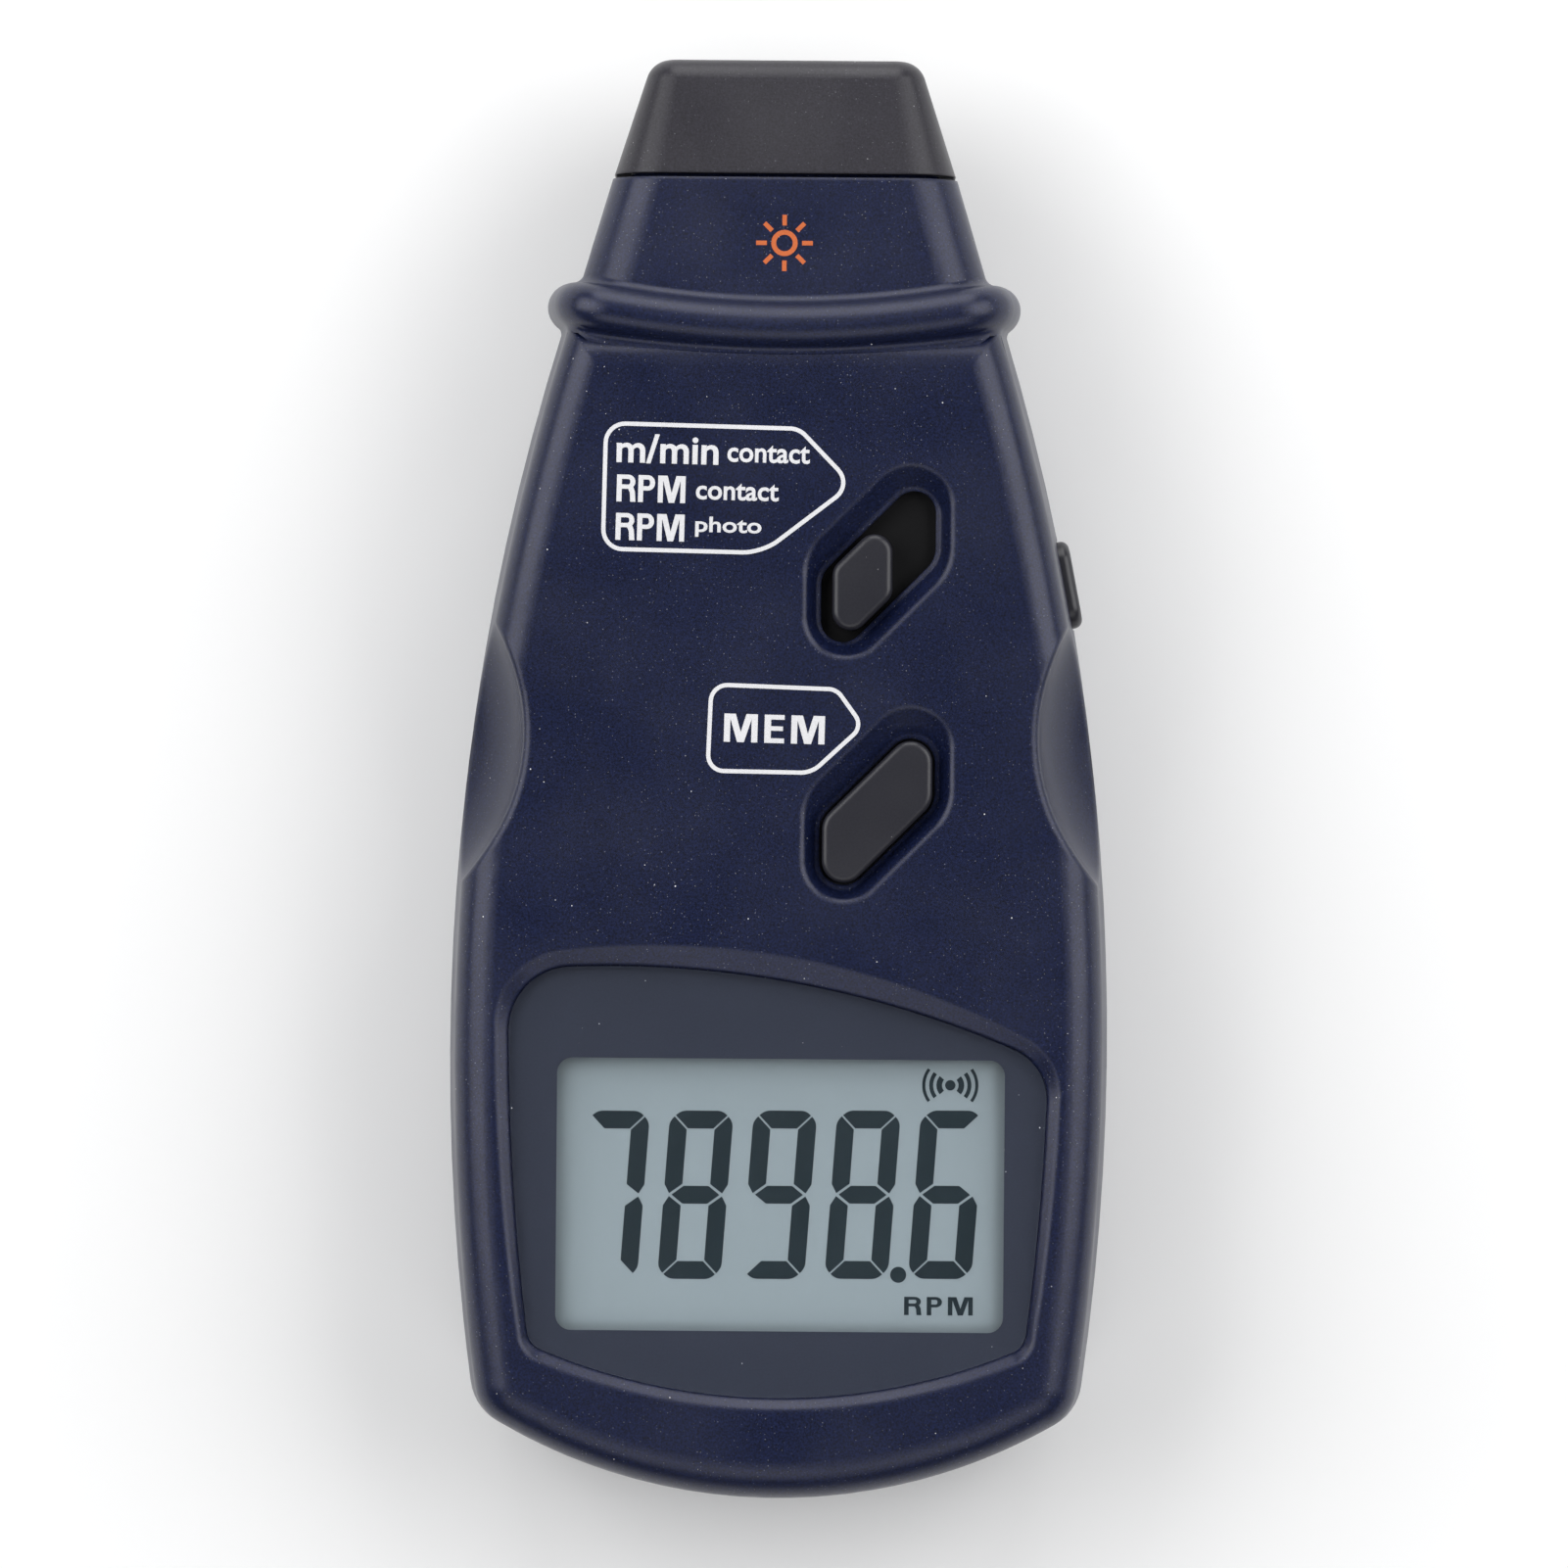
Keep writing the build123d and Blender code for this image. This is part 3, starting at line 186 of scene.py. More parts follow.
class EffectShelf:
    """Builds each shared effect's node group once."""

    def __init__(self) -> None:
        """Make the groups."""
        self.groups = {
            Effect.GRAIN: self.grain(),
            Effect.SPECKS: self.specks(),
            Effect.DRIFT: self.drift(),
            Effect.SHEEN: self.sheen(),
        }

    @staticmethod
    def start(effect: Effect, inputs: tuple[str, ...], result: str) -> tuple:
        """Open an empty group with named sockets.

        Args:
            effect: The effect that the group holds.
            inputs: Names of its inputs, which are numbers but for Vector and Color.
            result: Name of its output.

        Returns:
            The wiring, the input's sockets by name and the output node.
        """
        tree = bpy.data.node_groups.new(effect.value, "ShaderNodeTree")
        for way, names in (("INPUT", inputs), ("OUTPUT", (result,))):
            for name in names:
                kind = name if name in ("Vector", "Color") else "Float"
                tree.interface.new_socket(name=name, in_out=way, socket_type="NodeSocket" + kind)
        entry = tree.nodes.new("NodeGroupInput")
        return Wiring(tree), entry.outputs, tree.nodes.new("NodeGroupOutput")

    def grain(self) -> bpy.types.NodeTree:
        """Fine texture of a moulded surface: fine noise over softer, wider waves.

        Returns:
            The group.
        """
        w, entry, leave = self.start(Effect.GRAIN, ("Vector", "Pitch"), "Height")
        layers = ((2.0, 0.6, 1.0, 0.6), (1.0, 0.5, 0.45, 0.4))
        parts = []
        for detail, roughness, pitch_share, depth_share in layers:
            waves = w.node("TexNoise", {"Vector": entry["Vector"], "Detail": detail, "Roughness": roughness,
                                        "Scale": w.sum("MULTIPLY", entry["Pitch"], pitch_share)})
            parts.append(w.sum("MULTIPLY", waves.outputs[0], depth_share))
        w.feed(leave, {0: w.sum("ADD", *parts)})
        return w.tree

    def specks(self) -> bpy.types.NodeTree:
        """Sparse specks in loose patches, a few of them bright: real dust, and also the painted glints that
        stand in for highlights.

        Returns:
            The group.
        """
        smallest = 0.5  # share of the largest radius
        core = 0.75  # share of a speck's radius that is full
        patch_pitch = 55.0
        patch_gain = (0.3, 0.7, -0.35, 0.15)  # the patches' noise and what it adds to a cell's chance
        chance_span = (0.35, 0.8)  # chance of no speck and of a full one
        w, entry, leave = self.start(Effect.SPECKS, ("Vector", "Pitch", "Size"), "Mask")
        cells = w.node("TexVoronoi", {"Vector": entry["Vector"], "Scale": entry["Pitch"], "Randomness": 1.0})
        parts = w.node("SeparateColor", {0: cells.outputs["Color"]}).outputs
        reach = w.sum("MULTIPLY", entry["Size"], w.ramp(parts[1], 0.0, 1.0, smallest, 1.0))
        dot = w.ramp(w.sum("DIVIDE", cells.outputs["Distance"], reach), core, 1.0, 1.0, 0.0)
        patches = w.node("TexNoise", {"Vector": entry["Vector"], "Scale": patch_pitch, "Detail": 1.0})
        chance = w.sum("ADD", parts[0], w.ramp(patches.outputs[0], *patch_gain))
        w.feed(leave, {0: w.sum("MULTIPLY", dot, w.ramp(chance, *chance_span, 0.0, 1.0))})
        return w.tree

    def drift(self) -> bpy.types.NodeTree:
        """Slow and very fine change of a colour over the surface.

        Returns:
            The group.
        """
        noise_span = (0.25, 0.75)
        inputs = ("Vector", "Color", "Pitch", "Amount", "Fine Pitch", "Fine Amount")
        w, entry, leave = self.start(Effect.DRIFT, inputs, "Color")
        parts = []
        for kind in ("Fine ", ""):
            clouds = w.node("TexNoise", {"Vector": entry["Vector"], "Scale": entry[kind + "Pitch"],
                                         "Detail": 2.0})
            swing = w.ramp(clouds.outputs[0], *noise_span, -1.0, 1.0)
            parts.append(w.sum("MULTIPLY", swing, entry[kind + "Amount"]))
        scale = w.sum("ADD", w.sum("ADD", *parts), 1.0)
        shade = w.node("VectorMath", {0: entry["Color"], "Scale": scale}, operation="SCALE")
        w.feed(leave, {0: shade.outputs[0]})
        return w.tree

    def sheen(self) -> bpy.types.NodeTree:
        """Roughness that changes softly, as on a handled surface.

        Returns:
            The group.
        """
        noise_span = (0.3, 0.7)
        inputs = ("Vector", "Pitch", "Roughness", "Spread")
        w, entry, leave = self.start(Effect.SHEEN, inputs, "Roughness")
        clouds = w.node("TexNoise", {"Vector": entry["Vector"], "Scale": entry["Pitch"], "Detail": 2.0})
        swing = w.sum("MULTIPLY", w.ramp(clouds.outputs[0], *noise_span, -1.0, 1.0), entry["Spread"])
        w.feed(leave, {0: w.sum("ADD", swing, entry["Roughness"])})
        return w.tree


@dataclass(frozen=True)
class Bench:
    """A material under work and what its finish needs."""

    material: bpy.types.Material
    w: Wiring
    shader: bpy.types.Node
    place: bpy.types.NodeSocket  # the object coordinates
    shelf: EffectShelf

    def axes(self) -> bpy.types.bpy_prop_collection:
        """Sockets of the object coordinates along X, Y and Z."""
        return self.w.node("SeparateXYZ", {0: self.place}).outputs

    def effect(self, effect: Effect, values: dict[str, object]) -> bpy.types.NodeSocket:
        """Output of a shared effect, set into the material with what its other inputs read."""
        group = self.shelf.groups[effect]
        return self.w.node("Group", {"Vector": self.place, **values}, node_tree=group).outputs[0]


@dataclass(frozen=True)
class Finish:
    """A finish with a plain shader and the shared effects."""

    name: str
    slot: str
    colour: Colour
    roughness: float = 0.5
    shine: float = 0.5  # specular level
    gloss_tint: Colour = (1.0, 1.0, 1.0)
    metal: float = 0.0
    grain: float = 0.0  # depth of the grain in millimetres
    pitch: float = 2600.0  # grains in a metre
    drift: float = 0.04  # share by which the colour changes over the piece
    mottle: float = 0.05  # share by which it changes from grain to grain
    spread: float = 0.04  # change of the roughness over the piece
    dust: float = 0.0  # largest radius of a speck as a share of the dust pattern's cell
    painted_glint: float = 0.0  # strength of the painted glints: pale points in the colour that stand in for highlights on the moulded grain
    soft_edge: float = 0.0  # radius in millimetres that rounds the shaded edges

    def open(self, shelf: EffectShelf) -> Bench:
        """Start a material.

        Args:
            shelf: The shared effects.

        Returns:
            The bench with the new material.
        """
        material = bpy.data.materials.new(self.name)
        material.use_nodes = True
        material.diffuse_color = (*self.colour, 1.0)
        w = Wiring(material.node_tree)
        shader = w.find("BSDF_PRINCIPLED")
        w.feed(shader, {"Specular IOR Level": self.shine, "Specular Tint": self.gloss_tint,
                        "Metallic": self.metal})
        return Bench(material, w, shader, w.node("TexCoord").outputs["Object"], shelf)

    def tint(self, bench: Bench) -> bpy.types.NodeSocket:
        """Colour of the surface before dust."""
        return bench.effect(Effect.DRIFT, {"Color": self.colour, "Pitch": SLOW_PITCH, "Amount": self.drift,
                                           "Fine Pitch": FINE_PITCH, "Fine Amount": self.mottle})

    def make(self, shelf: EffectShelf) -> bpy.types.Material:
        """Build the material.

        Args:
            shelf: The shared effects.

        Returns:
            The finished material.
        """
        bench = self.open(shelf)
        w = bench.w
        colour = self.tint(bench)
        # painted highlights: pale points mixed into the colour as glints
        if self.painted_glint:
            mask = bench.effect(Effect.SPECKS, {"Pitch": GLINT_PITCH, "Size": GLINT_SIZE})
            colour = w.blend(w.sum("MULTIPLY", mask, self.painted_glint), colour, PAINTED_GLINT_COLOUR)
        if self.dust:
            mask = bench.effect(Effect.SPECKS, {"Pitch": DUST_PITCH, "Size": self.dust})
            colour = w.blend(mask, colour, DUST_COLOUR)
        sheen = bench.effect(Effect.SHEEN, {"Pitch": SHEEN_PITCH, "Roughness": self.roughness,
                                            "Spread": self.spread})
        normal = {}
        if self.soft_edge:
            edge = w.node("Bevel", {"Radius": self.soft_edge * MM}, samples=EDGE_SAMPLES)
            normal = {"Normal": edge.outputs[0]}
        if self.grain:
            height = bench.effect(Effect.GRAIN, {"Pitch": self.pitch})
            bump = w.node("Bump", {"Strength": 1.0, "Distance": self.grain * MM, "Height": height, **normal})
            normal = {"Normal": bump.outputs[0]}
        w.feed(bench.shader, {"Base Color": colour, "Roughness": sheen, **normal})
        return bench.material


@dataclass(frozen=True)
class Clear(Finish):
    """Clear moulded plastic or glass that lets the lamps through."""

    bend: float = 1.49  # index of refraction
    film: Colour = (0.94, 0.95, 0.95)  # share of the light let through

    def make(self, shelf: EffectShelf) -> bpy.types.Material:
        """Build the material.

        Args:
            shelf: The shared effects.

        Returns:
            The finished material.
        """
        bench = self.open(shelf)
        w, shader = bench.w, bench.shader
        w.feed(shader, {"Base Color": self.colour, "Roughness": self.roughness, "IOR": self.bend,
                        "Transmission Weight": 1.0})
        film = w.node("BsdfTransparent", {"Color": self.film})
        shadow = w.node("LightPath").outputs["Is Shadow Ray"]
        mix = w.node("MixShader", {0: shadow, 1: shader.outputs[0], 2: film.outputs[0]})
        w.feed(w.find("OUTPUT_MATERIAL"), {"Surface": mix.outputs[0]})
        return bench.material


@dataclass(frozen=True)
class Panel(Finish):
    """Face of a reflective liquid crystal panel over its glass edges."""

    top: float = 31.4  # mm, level of the face
    lip: tuple[float, float] = (0.25, 0.2)  # mm under the face, where the glass edge ends
    glass: Colour = (0.10, 0.17, 0.15)
    painted_foot_light: float = 1.03  # painted light: brightness of the face's foot against its head
    middle: tuple[float, float] = (0.3, -45.5)
    half: tuple[float, float] = (24.65, 15.0)
    # painted shadow of the opening's rim: axis and way of a side, width of its shade in mm and brightness at
    # the side
    shade: tuple = ((0, -1, 0.9, 0.86), (0, 1, 1.6, 0.7), (1, -1, 1.3, 0.74), (1, 1, 0.7, 0.86))

    def tint(self, bench: Bench) -> bpy.types.NodeSocket:
        """Grey face with painted shadow towards the four sides of the opening over it, a painted lighter
        foot, and green glass edges.

        Args:
            bench: The material under work.

        Returns:
            The colour's socket.
        """
        w, axes = bench.w, bench.axes()
        # painted light and shadow: the foot a little brighter, each side of the opening darker as its rim
        # would shade it
        light = w.ramp(axes[1], (self.middle[1] - self.half[1]) * MM,
                       (self.middle[1] + self.half[1]) * MM, self.painted_foot_light, 1.0)
        for axis, way, width, dark in self.shade:
            edge = self.middle[axis] + way * self.half[axis]
            inside = edge - way * width
            ends = ((edge, inside), (dark, 1.0)) if way < 0 else ((inside, edge), (1.0, dark))
            part = w.ramp(axes[axis], *(value * MM for value in ends[0]), *ends[1], "SMOOTHSTEP")
            light = w.sum("MULTIPLY", light, part)
        scale = w.node("VectorMath", {0: self.colour, "Scale": light}, operation="SCALE")
        face = w.ramp(axes[2], *((self.top - under) * MM for under in self.lip), 0.0, 1.0)
        return w.blend(face, self.glass, scale.outputs[0])


@dataclass(frozen=True)
class Sleeve(Finish):
    """Printed sleeve of a round cell, with a coloured band at its raised end."""

    band: Colour = (0.03, 0.13, 0.17)
    stripe: Colour = (0.75, 0.72, 0.66)
    bare: Colour = (0.62, 0.61, 0.58)
    bare_roughness: float = 0.34
    length: float = 50.5  # mm
    band_start: tuple[float, float] = (35.6, 35.8)  # mm from the tail, over which the colour changes
    stripe_ends: tuple = ((34.6, 34.7), (35.5, 35.6))
    sleeve_ends: tuple = ((0.5, 0.55), (48.9, 48.95))
    ripple: float = 0.01  # mm
    ripple_pitch: float = 700.0
    nub_end: float = 0.0  # mm along Y
    tail_end: float = 0.0

    def make(self, shelf: EffectShelf) -> bpy.types.Material:
        """Build the material.

        Args:
            shelf: The shared effects.

        Returns:
            The finished material.
        """
        bench = self.open(shelf)
        w = bench.w
        along = w.ramp(bench.axes()[1], self.tail_end * MM, self.nub_end * MM, 0.0, self.length)
        banded = w.blend(w.ramp(along, *self.band_start, 0.0, 1.0), self.tint(bench), self.band)
        first, last = self.stripe_ends
        stripe = w.sum("MULTIPLY", w.ramp(along, *first, 0.0, 1.0), w.ramp(along, *last, 1.0, 0.0))
        banded = w.blend(stripe, banded, self.stripe)
        tail, nub = self.sleeve_ends
        bare = w.sum("MAXIMUM", w.ramp(along, *tail, 1.0, 0.0), w.ramp(along, *nub, 0.0, 1.0))
        bump = w.node("Bump", {"Strength": 0.5, "Distance": self.ripple * MM,
                               "Height": bench.effect(Effect.GRAIN, {"Pitch": self.ripple_pitch})})
        w.feed(bench.shader, {"Base Color": w.blend(bare, banded, self.bare), "Metallic": bare,
                              "Roughness": w.ramp(bare, 0.0, 1.0, self.roughness, self.bare_roughness),
                              "Normal": bump.outputs[0]})
        return bench.material


@dataclass(frozen=True)
class Mask(Finish):
    """Solder mask over copper: tracks show as a lighter green."""

    gain: float = 2.1  # brightness of the tracks against the mask

    def tint(self, bench: Bench) -> bpy.types.NodeSocket:
        """Green with faint tracks on a square grid.

        Args:
            bench: The material under work.

        Returns:
            The colour's socket.
        """
        grid = {"Vector": bench.place, "Scale": 260.0, "Mortar Size": 0.055, "Mortar Smooth": 0.0,
                "Brick Width": 1.9, "Row Height": 0.55, "Bias": 0.0}
        bricks = bench.w.node("TexBrick", grid, offset=0.37)
        lighter = tuple(part * self.gain for part in self.colour)
        return bench.w.blend(bricks.outputs["Fac"], super().tint(bench), lighter)


@dataclass(frozen=True)
class Banded(Finish):
    """Rubber contact strip: a dark conducting core between soft walls."""

    core: Colour = (0.012, 0.012, 0.013)
    sharp: float = 0.9  # share of the core's half width where it starts to fade
    middle: float = 0.0  # mm along Y
    half: float = 0.35

    def tint(self, bench: Bench) -> bpy.types.NodeSocket:
        """Soft walls beside a black core.

        Args:
            bench: The material under work.

        Returns:
            The colour's socket.
        """
        w = bench.w
        off = w.sum("ABSOLUTE", w.sum("SUBTRACT", bench.axes()[1], self.middle * MM), 0.0)
        core = w.ramp(off, self.half * self.sharp * MM, self.half * MM, 1.0, 0.0)
        return w.blend(core, super().tint(bench), self.core)


# The navy and hood mouldings carry painted highlights as pale glint points in their colour
NAVY = Finish("navy_moulding", "navy_shell", (0.0048, 0.008, 0.0305), 0.34, 0.48, grain=0.008,
              pitch=6200.0, drift=0.06, mottle=0.8, dust=0.058, painted_glint=0.16, soft_edge=0.6,
              gloss_tint=(0.9, 0.9, 1.0))
NAVY_BLEND = replace(NAVY, name="navy_seam", soft_edge=0.0)
HOOD = Finish("hood_moulding", "black_hood", (0.016, 0.0145, 0.021), 0.38, 0.46, grain=0.009,
              pitch=6200.0, drift=0.05, mottle=0.5, dust=0.055, painted_glint=0.1, soft_edge=0.4)
KEY = Finish("key_satin", "black_key", (0.017, 0.017, 0.023), 0.34, 0.48, grain=0.006,
             pitch=6200.0, drift=0.04, mottle=0.15, dust=0.055, soft_edge=0.35)
SHUTTER = Finish("shutter_matte", "black_key", (0.0045, 0.0045, 0.0052), 0.5, 0.14, grain=0.006,
                 pitch=3600.0, dust=0.03)
CARRIER = Finish("carrier_plastic", "inner_plastic", (0.04, 0.04, 0.045), 0.5, 0.4, grain=0.006,
                 pitch=3000.0, soft_edge=0.12)
SWITCH_CASE = Finish("switch_case", "inner_plastic", (0.05, 0.05, 0.05), 0.42, 0.45, grain=0.003,
                     soft_edge=0.08)
PLUNGER = Finish("plunger_plastic", "inner_plastic", (0.45, 0.43, 0.38), 0.4, 0.45, grain=0.003,
                 soft_edge=0.08)
WINDOW = Clear("window_clear", "window", (0.99, 0.99, 0.99), 0.0, 0.5)
PANE = Clear("pane_clear", "lens", (0.96, 0.97, 0.98), 0.0, 0.5)
LENS = Clear("lens_clear", "lens", (0.95, 0.96, 0.98), 0.0, 0.5, bend=1.52)
FACE = Panel("display_face", "lcd", (0.182, 0.221, 0.243), 0.42, 0.35, drift=0.01, spread=0.02)
TAPE = Finish("foam_tape", "adhesive", (0.03, 0.03, 0.03), 0.8, 0.3, grain=0.03, pitch=5200.0)
MASK = Mask("board_mask", "board", (0.012, 0.105, 0.04), 0.3, 0.5, grain=0.004, pitch=1800.0)
EPOXY = Finish("chip_epoxy", "chip", (0.018, 0.018, 0.02), 0.55, 0.4, grain=0.008, pitch=6000.0)
CHIPS = Finish("chip_ends", "chip", (0.05, 0.05, 0.055), 0.4, 0.5, grain=0.004)
CAN = Finish("can_nickel", "metal", (0.62, 0.61, 0.58), 0.26, 0.5, metal=1.0, grain=0.002, spread=0.08)
NICKEL = Finish("contact_nickel", "metal", (0.66, 0.64, 0.6), 0.24, 0.5, metal=1.0, grain=0.003,
                pitch=1500.0, spread=0.1)
BRASS = Finish("turned_brass", "brass", (0.72, 0.5, 0.2), 0.28, 0.5, metal=1.0, grain=0.003,
               pitch=1800.0, spread=0.08)
ZINC = Finish("screw_zinc", "screw", (0.4, 0.4, 0.41), 0.36, 0.5, metal=1.0, grain=0.004,
              pitch=2600.0, spread=0.1)
BLACK_LEAD = Finish("lead_black", "wire_black", (0.016, 0.016, 0.017), 0.4, 0.45, grain=0.003)
RED_LEAD = Finish("lead_red", "wire_red", (0.42, 0.02, 0.018), 0.4, 0.45, grain=0.003)
WHITE_LEAD = Finish("lead_white", "wire_white", (0.62, 0.61, 0.58), 0.4, 0.45, grain=0.003)
CAPACITOR = Finish("capacitor_sleeve", "chip", (0.02, 0.03, 0.09), 0.35, 0.5, grain=0.003)

PRINT_WHITE = Finish("print_white", "navy_shell", (0.66, 0.66, 0.68), 0.55, 0.3, grain=0.006,
                     pitch=5200.0, drift=0.05)
PRINT_ORANGE = Finish("print_orange", "navy_shell", (0.5, 0.115, 0.032), 0.55, 0.3, grain=0.006,
                      pitch=5200.0, drift=0.05)
BORDER = Finish("border_ink", "window", (0.0185, 0.023, 0.039), 0.5, 0.2, grain=0.003, pitch=4200.0,
                drift=0.03, mottle=0.08, dust=0.062)
SEGMENT = Finish("segment_dark", "lcd", (0.01, 0.017, 0.022), 0.4, 0.15, drift=0.05)


@dataclass
class Paintbox:
    """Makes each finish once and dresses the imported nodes."""

    shelf: EffectShelf
    made: dict[str, bpy.types.Material] = field(default_factory=dict)

    def dress(self, piece: bpy.types.Object, finish: Finish) -> None:
        """Give a piece one finish in all its slots.

        Args:
            piece: The piece.
            finish: Its finish, of which the material is made once.
        """
        if finish.name not in self.made:
            self.made[finish.name] = finish.make(self.shelf)
        material = self.made[finish.name]
        if not piece.material_slots:
            piece.data.materials.append(material)
        for held in piece.material_slots:
            held.material = material


def new_piece(name: str, shape: bmesh.types.BMesh) -> bpy.types.Object:
    """Turn a bmesh into an object at the origin.

    Args:
        name: The piece's name.
        shape: Its mesh, which is freed.

    Returns:
        The new object.
    """
    mesh = bpy.data.meshes.new(name)
    shape.to_mesh(mesh)
    shape.free()
    piece = bpy.data.objects.new(name, mesh)
    bpy.context.scene.collection.objects.link(piece)
    return piece


def vertex(shape: bmesh.types.BMesh, place: Vector) -> bmesh.types.BMVert:
    """Add one vertex."""
    return bmesh.ops.create_vert(shape, co=place)["vert"][0]


def thicken(shape: bmesh.types.BMesh, depth: float) -> None:
    """Turn every face of a flat sheet upwards and raise it into a thin plate.

    Args:
        shape: The sheet.
        depth: Thickness in metres.
    """
    for face in shape.faces:
        face.normal_update()
    bmesh.ops.reverse_faces(shape, faces=[f for f in shape.faces if f.normal.z < 0])
    raised = bmesh.ops.extrude_face_region(shape, geom=shape.faces[:], use_keep_orig=True)
    tops = [g for g in raised["geom"] if isinstance(g, bmesh.types.BMVert)]
    bmesh.ops.translate(shape, vec=(0, 0, depth), verts=tops)
    bmesh.ops.recalc_face_normals(shape, faces=shape.faces[:])


def polygon(shape: bmesh.types.BMesh, points: list[Vector]) -> bmesh.types.BMFace:
    """Add one flat face.

    Args:
        shape: The bmesh to add it to.
        points: Its corners in order.

    Returns:
        The new face.
    """
    face = bmesh.ops.contextual_create(shape, geom=[vertex(shape, p) for p in points])["faces"][0]
    if face.normal.z < 0:
        bmesh.ops.reverse_faces(shape, faces=[face])
    return face


def arc(shape: bmesh.types.BMesh, radii: tuple[float, float], first: float, turn: float, steps: int) -> None:
    """Add a flat arc round the origin.

    Args:
        shape: The bmesh to add it to.
        radii: Inner and outer radius in metres.
        first: Angle of its start.
        turn: Angle that it covers, up to a full turn.
        steps: Faces along it.
    """
    way = Matrix.Rotation(first, 3, "Z")
    start = [vertex(shape, way @ Vector((radius, 0, 0))) for radius in radii]
    line = bmesh.ops.contextual_create(shape, geom=start)["edges"]
    bmesh.ops.spin(shape, geom=[*start, *line], cent=(0, 0, 0), axis=(0, 0, 1), angle=turn, steps=steps,
                   use_merge=turn == 2 * math.pi)


def round_corners(shape: bmesh.types.BMesh, verts: list, cut: float) -> None:
    """Round flat corners of a face, cutting a length in metres from each side."""
    bmesh.ops.bevel(shape, geom=verts, offset=cut, offset_type="OFFSET", segments=CORNER_STEPS,
                    profile=0.5, affect="VERTICES", material=-1)


def surface_tree(*nodes: bpy.types.Object) -> BVHTree:
    """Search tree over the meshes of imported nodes.

    Args:
        *nodes: The nodes.

    Returns:
        The tree.
    """
    points: list[Vector] = []
    faces: list[tuple[int, ...]] = []
    for node in nodes:
        base = len(points)
        points += [v.co.copy() for v in node.data.vertices]
        faces += [tuple(base + i for i in p.vertices) for p in node.data.polygons]
    return BVHTree.FromPolygons(points, faces)


def lay(shape: bmesh.types.BMesh, tree: BVHTree) -> None:
    """Let a thin print down on a surface.

    Args:
        shape: The print, with its foot on the ground plane.
        tree: The surface's search tree.
    """
    for vert in shape.verts:
        hit = tree.ray_cast(Vector((vert.co.x, vert.co.y, SKY)), Vector((0, 0, -1)))[0]
        if hit is not None:
            vert.co.z += hit.z


@dataclass
class Part:
    """A sub-assembly that hands its pieces to the frame's fixed body."""

    body = "housing"
    paint: Paintbox

    def fit(self, name: str, shape: bmesh.types.BMesh, finish: Finish) -> None:
        """Make a piece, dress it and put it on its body.

        Args:
            name: The piece's name.
            shape: Its mesh, which is freed.
            finish: Its finish.
        """
        piece = new_piece(name, shape)
        self.paint.dress(piece, finish)
        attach(piece, self.body)
        LOG.info("%s on %s, %d faces", name, self.body, len(piece.data.polygons))


@dataclass(frozen=True)
class Legend:
    """One printed word and the box it fills, in pixels of the photograph."""

    words: str
    centre: tuple[float, float]
    width: float
    height: float
    bold: float = 0.02  # growth of the strokes as a share of the letters' size
    space: float = 0.105  # between block capitals, in their height


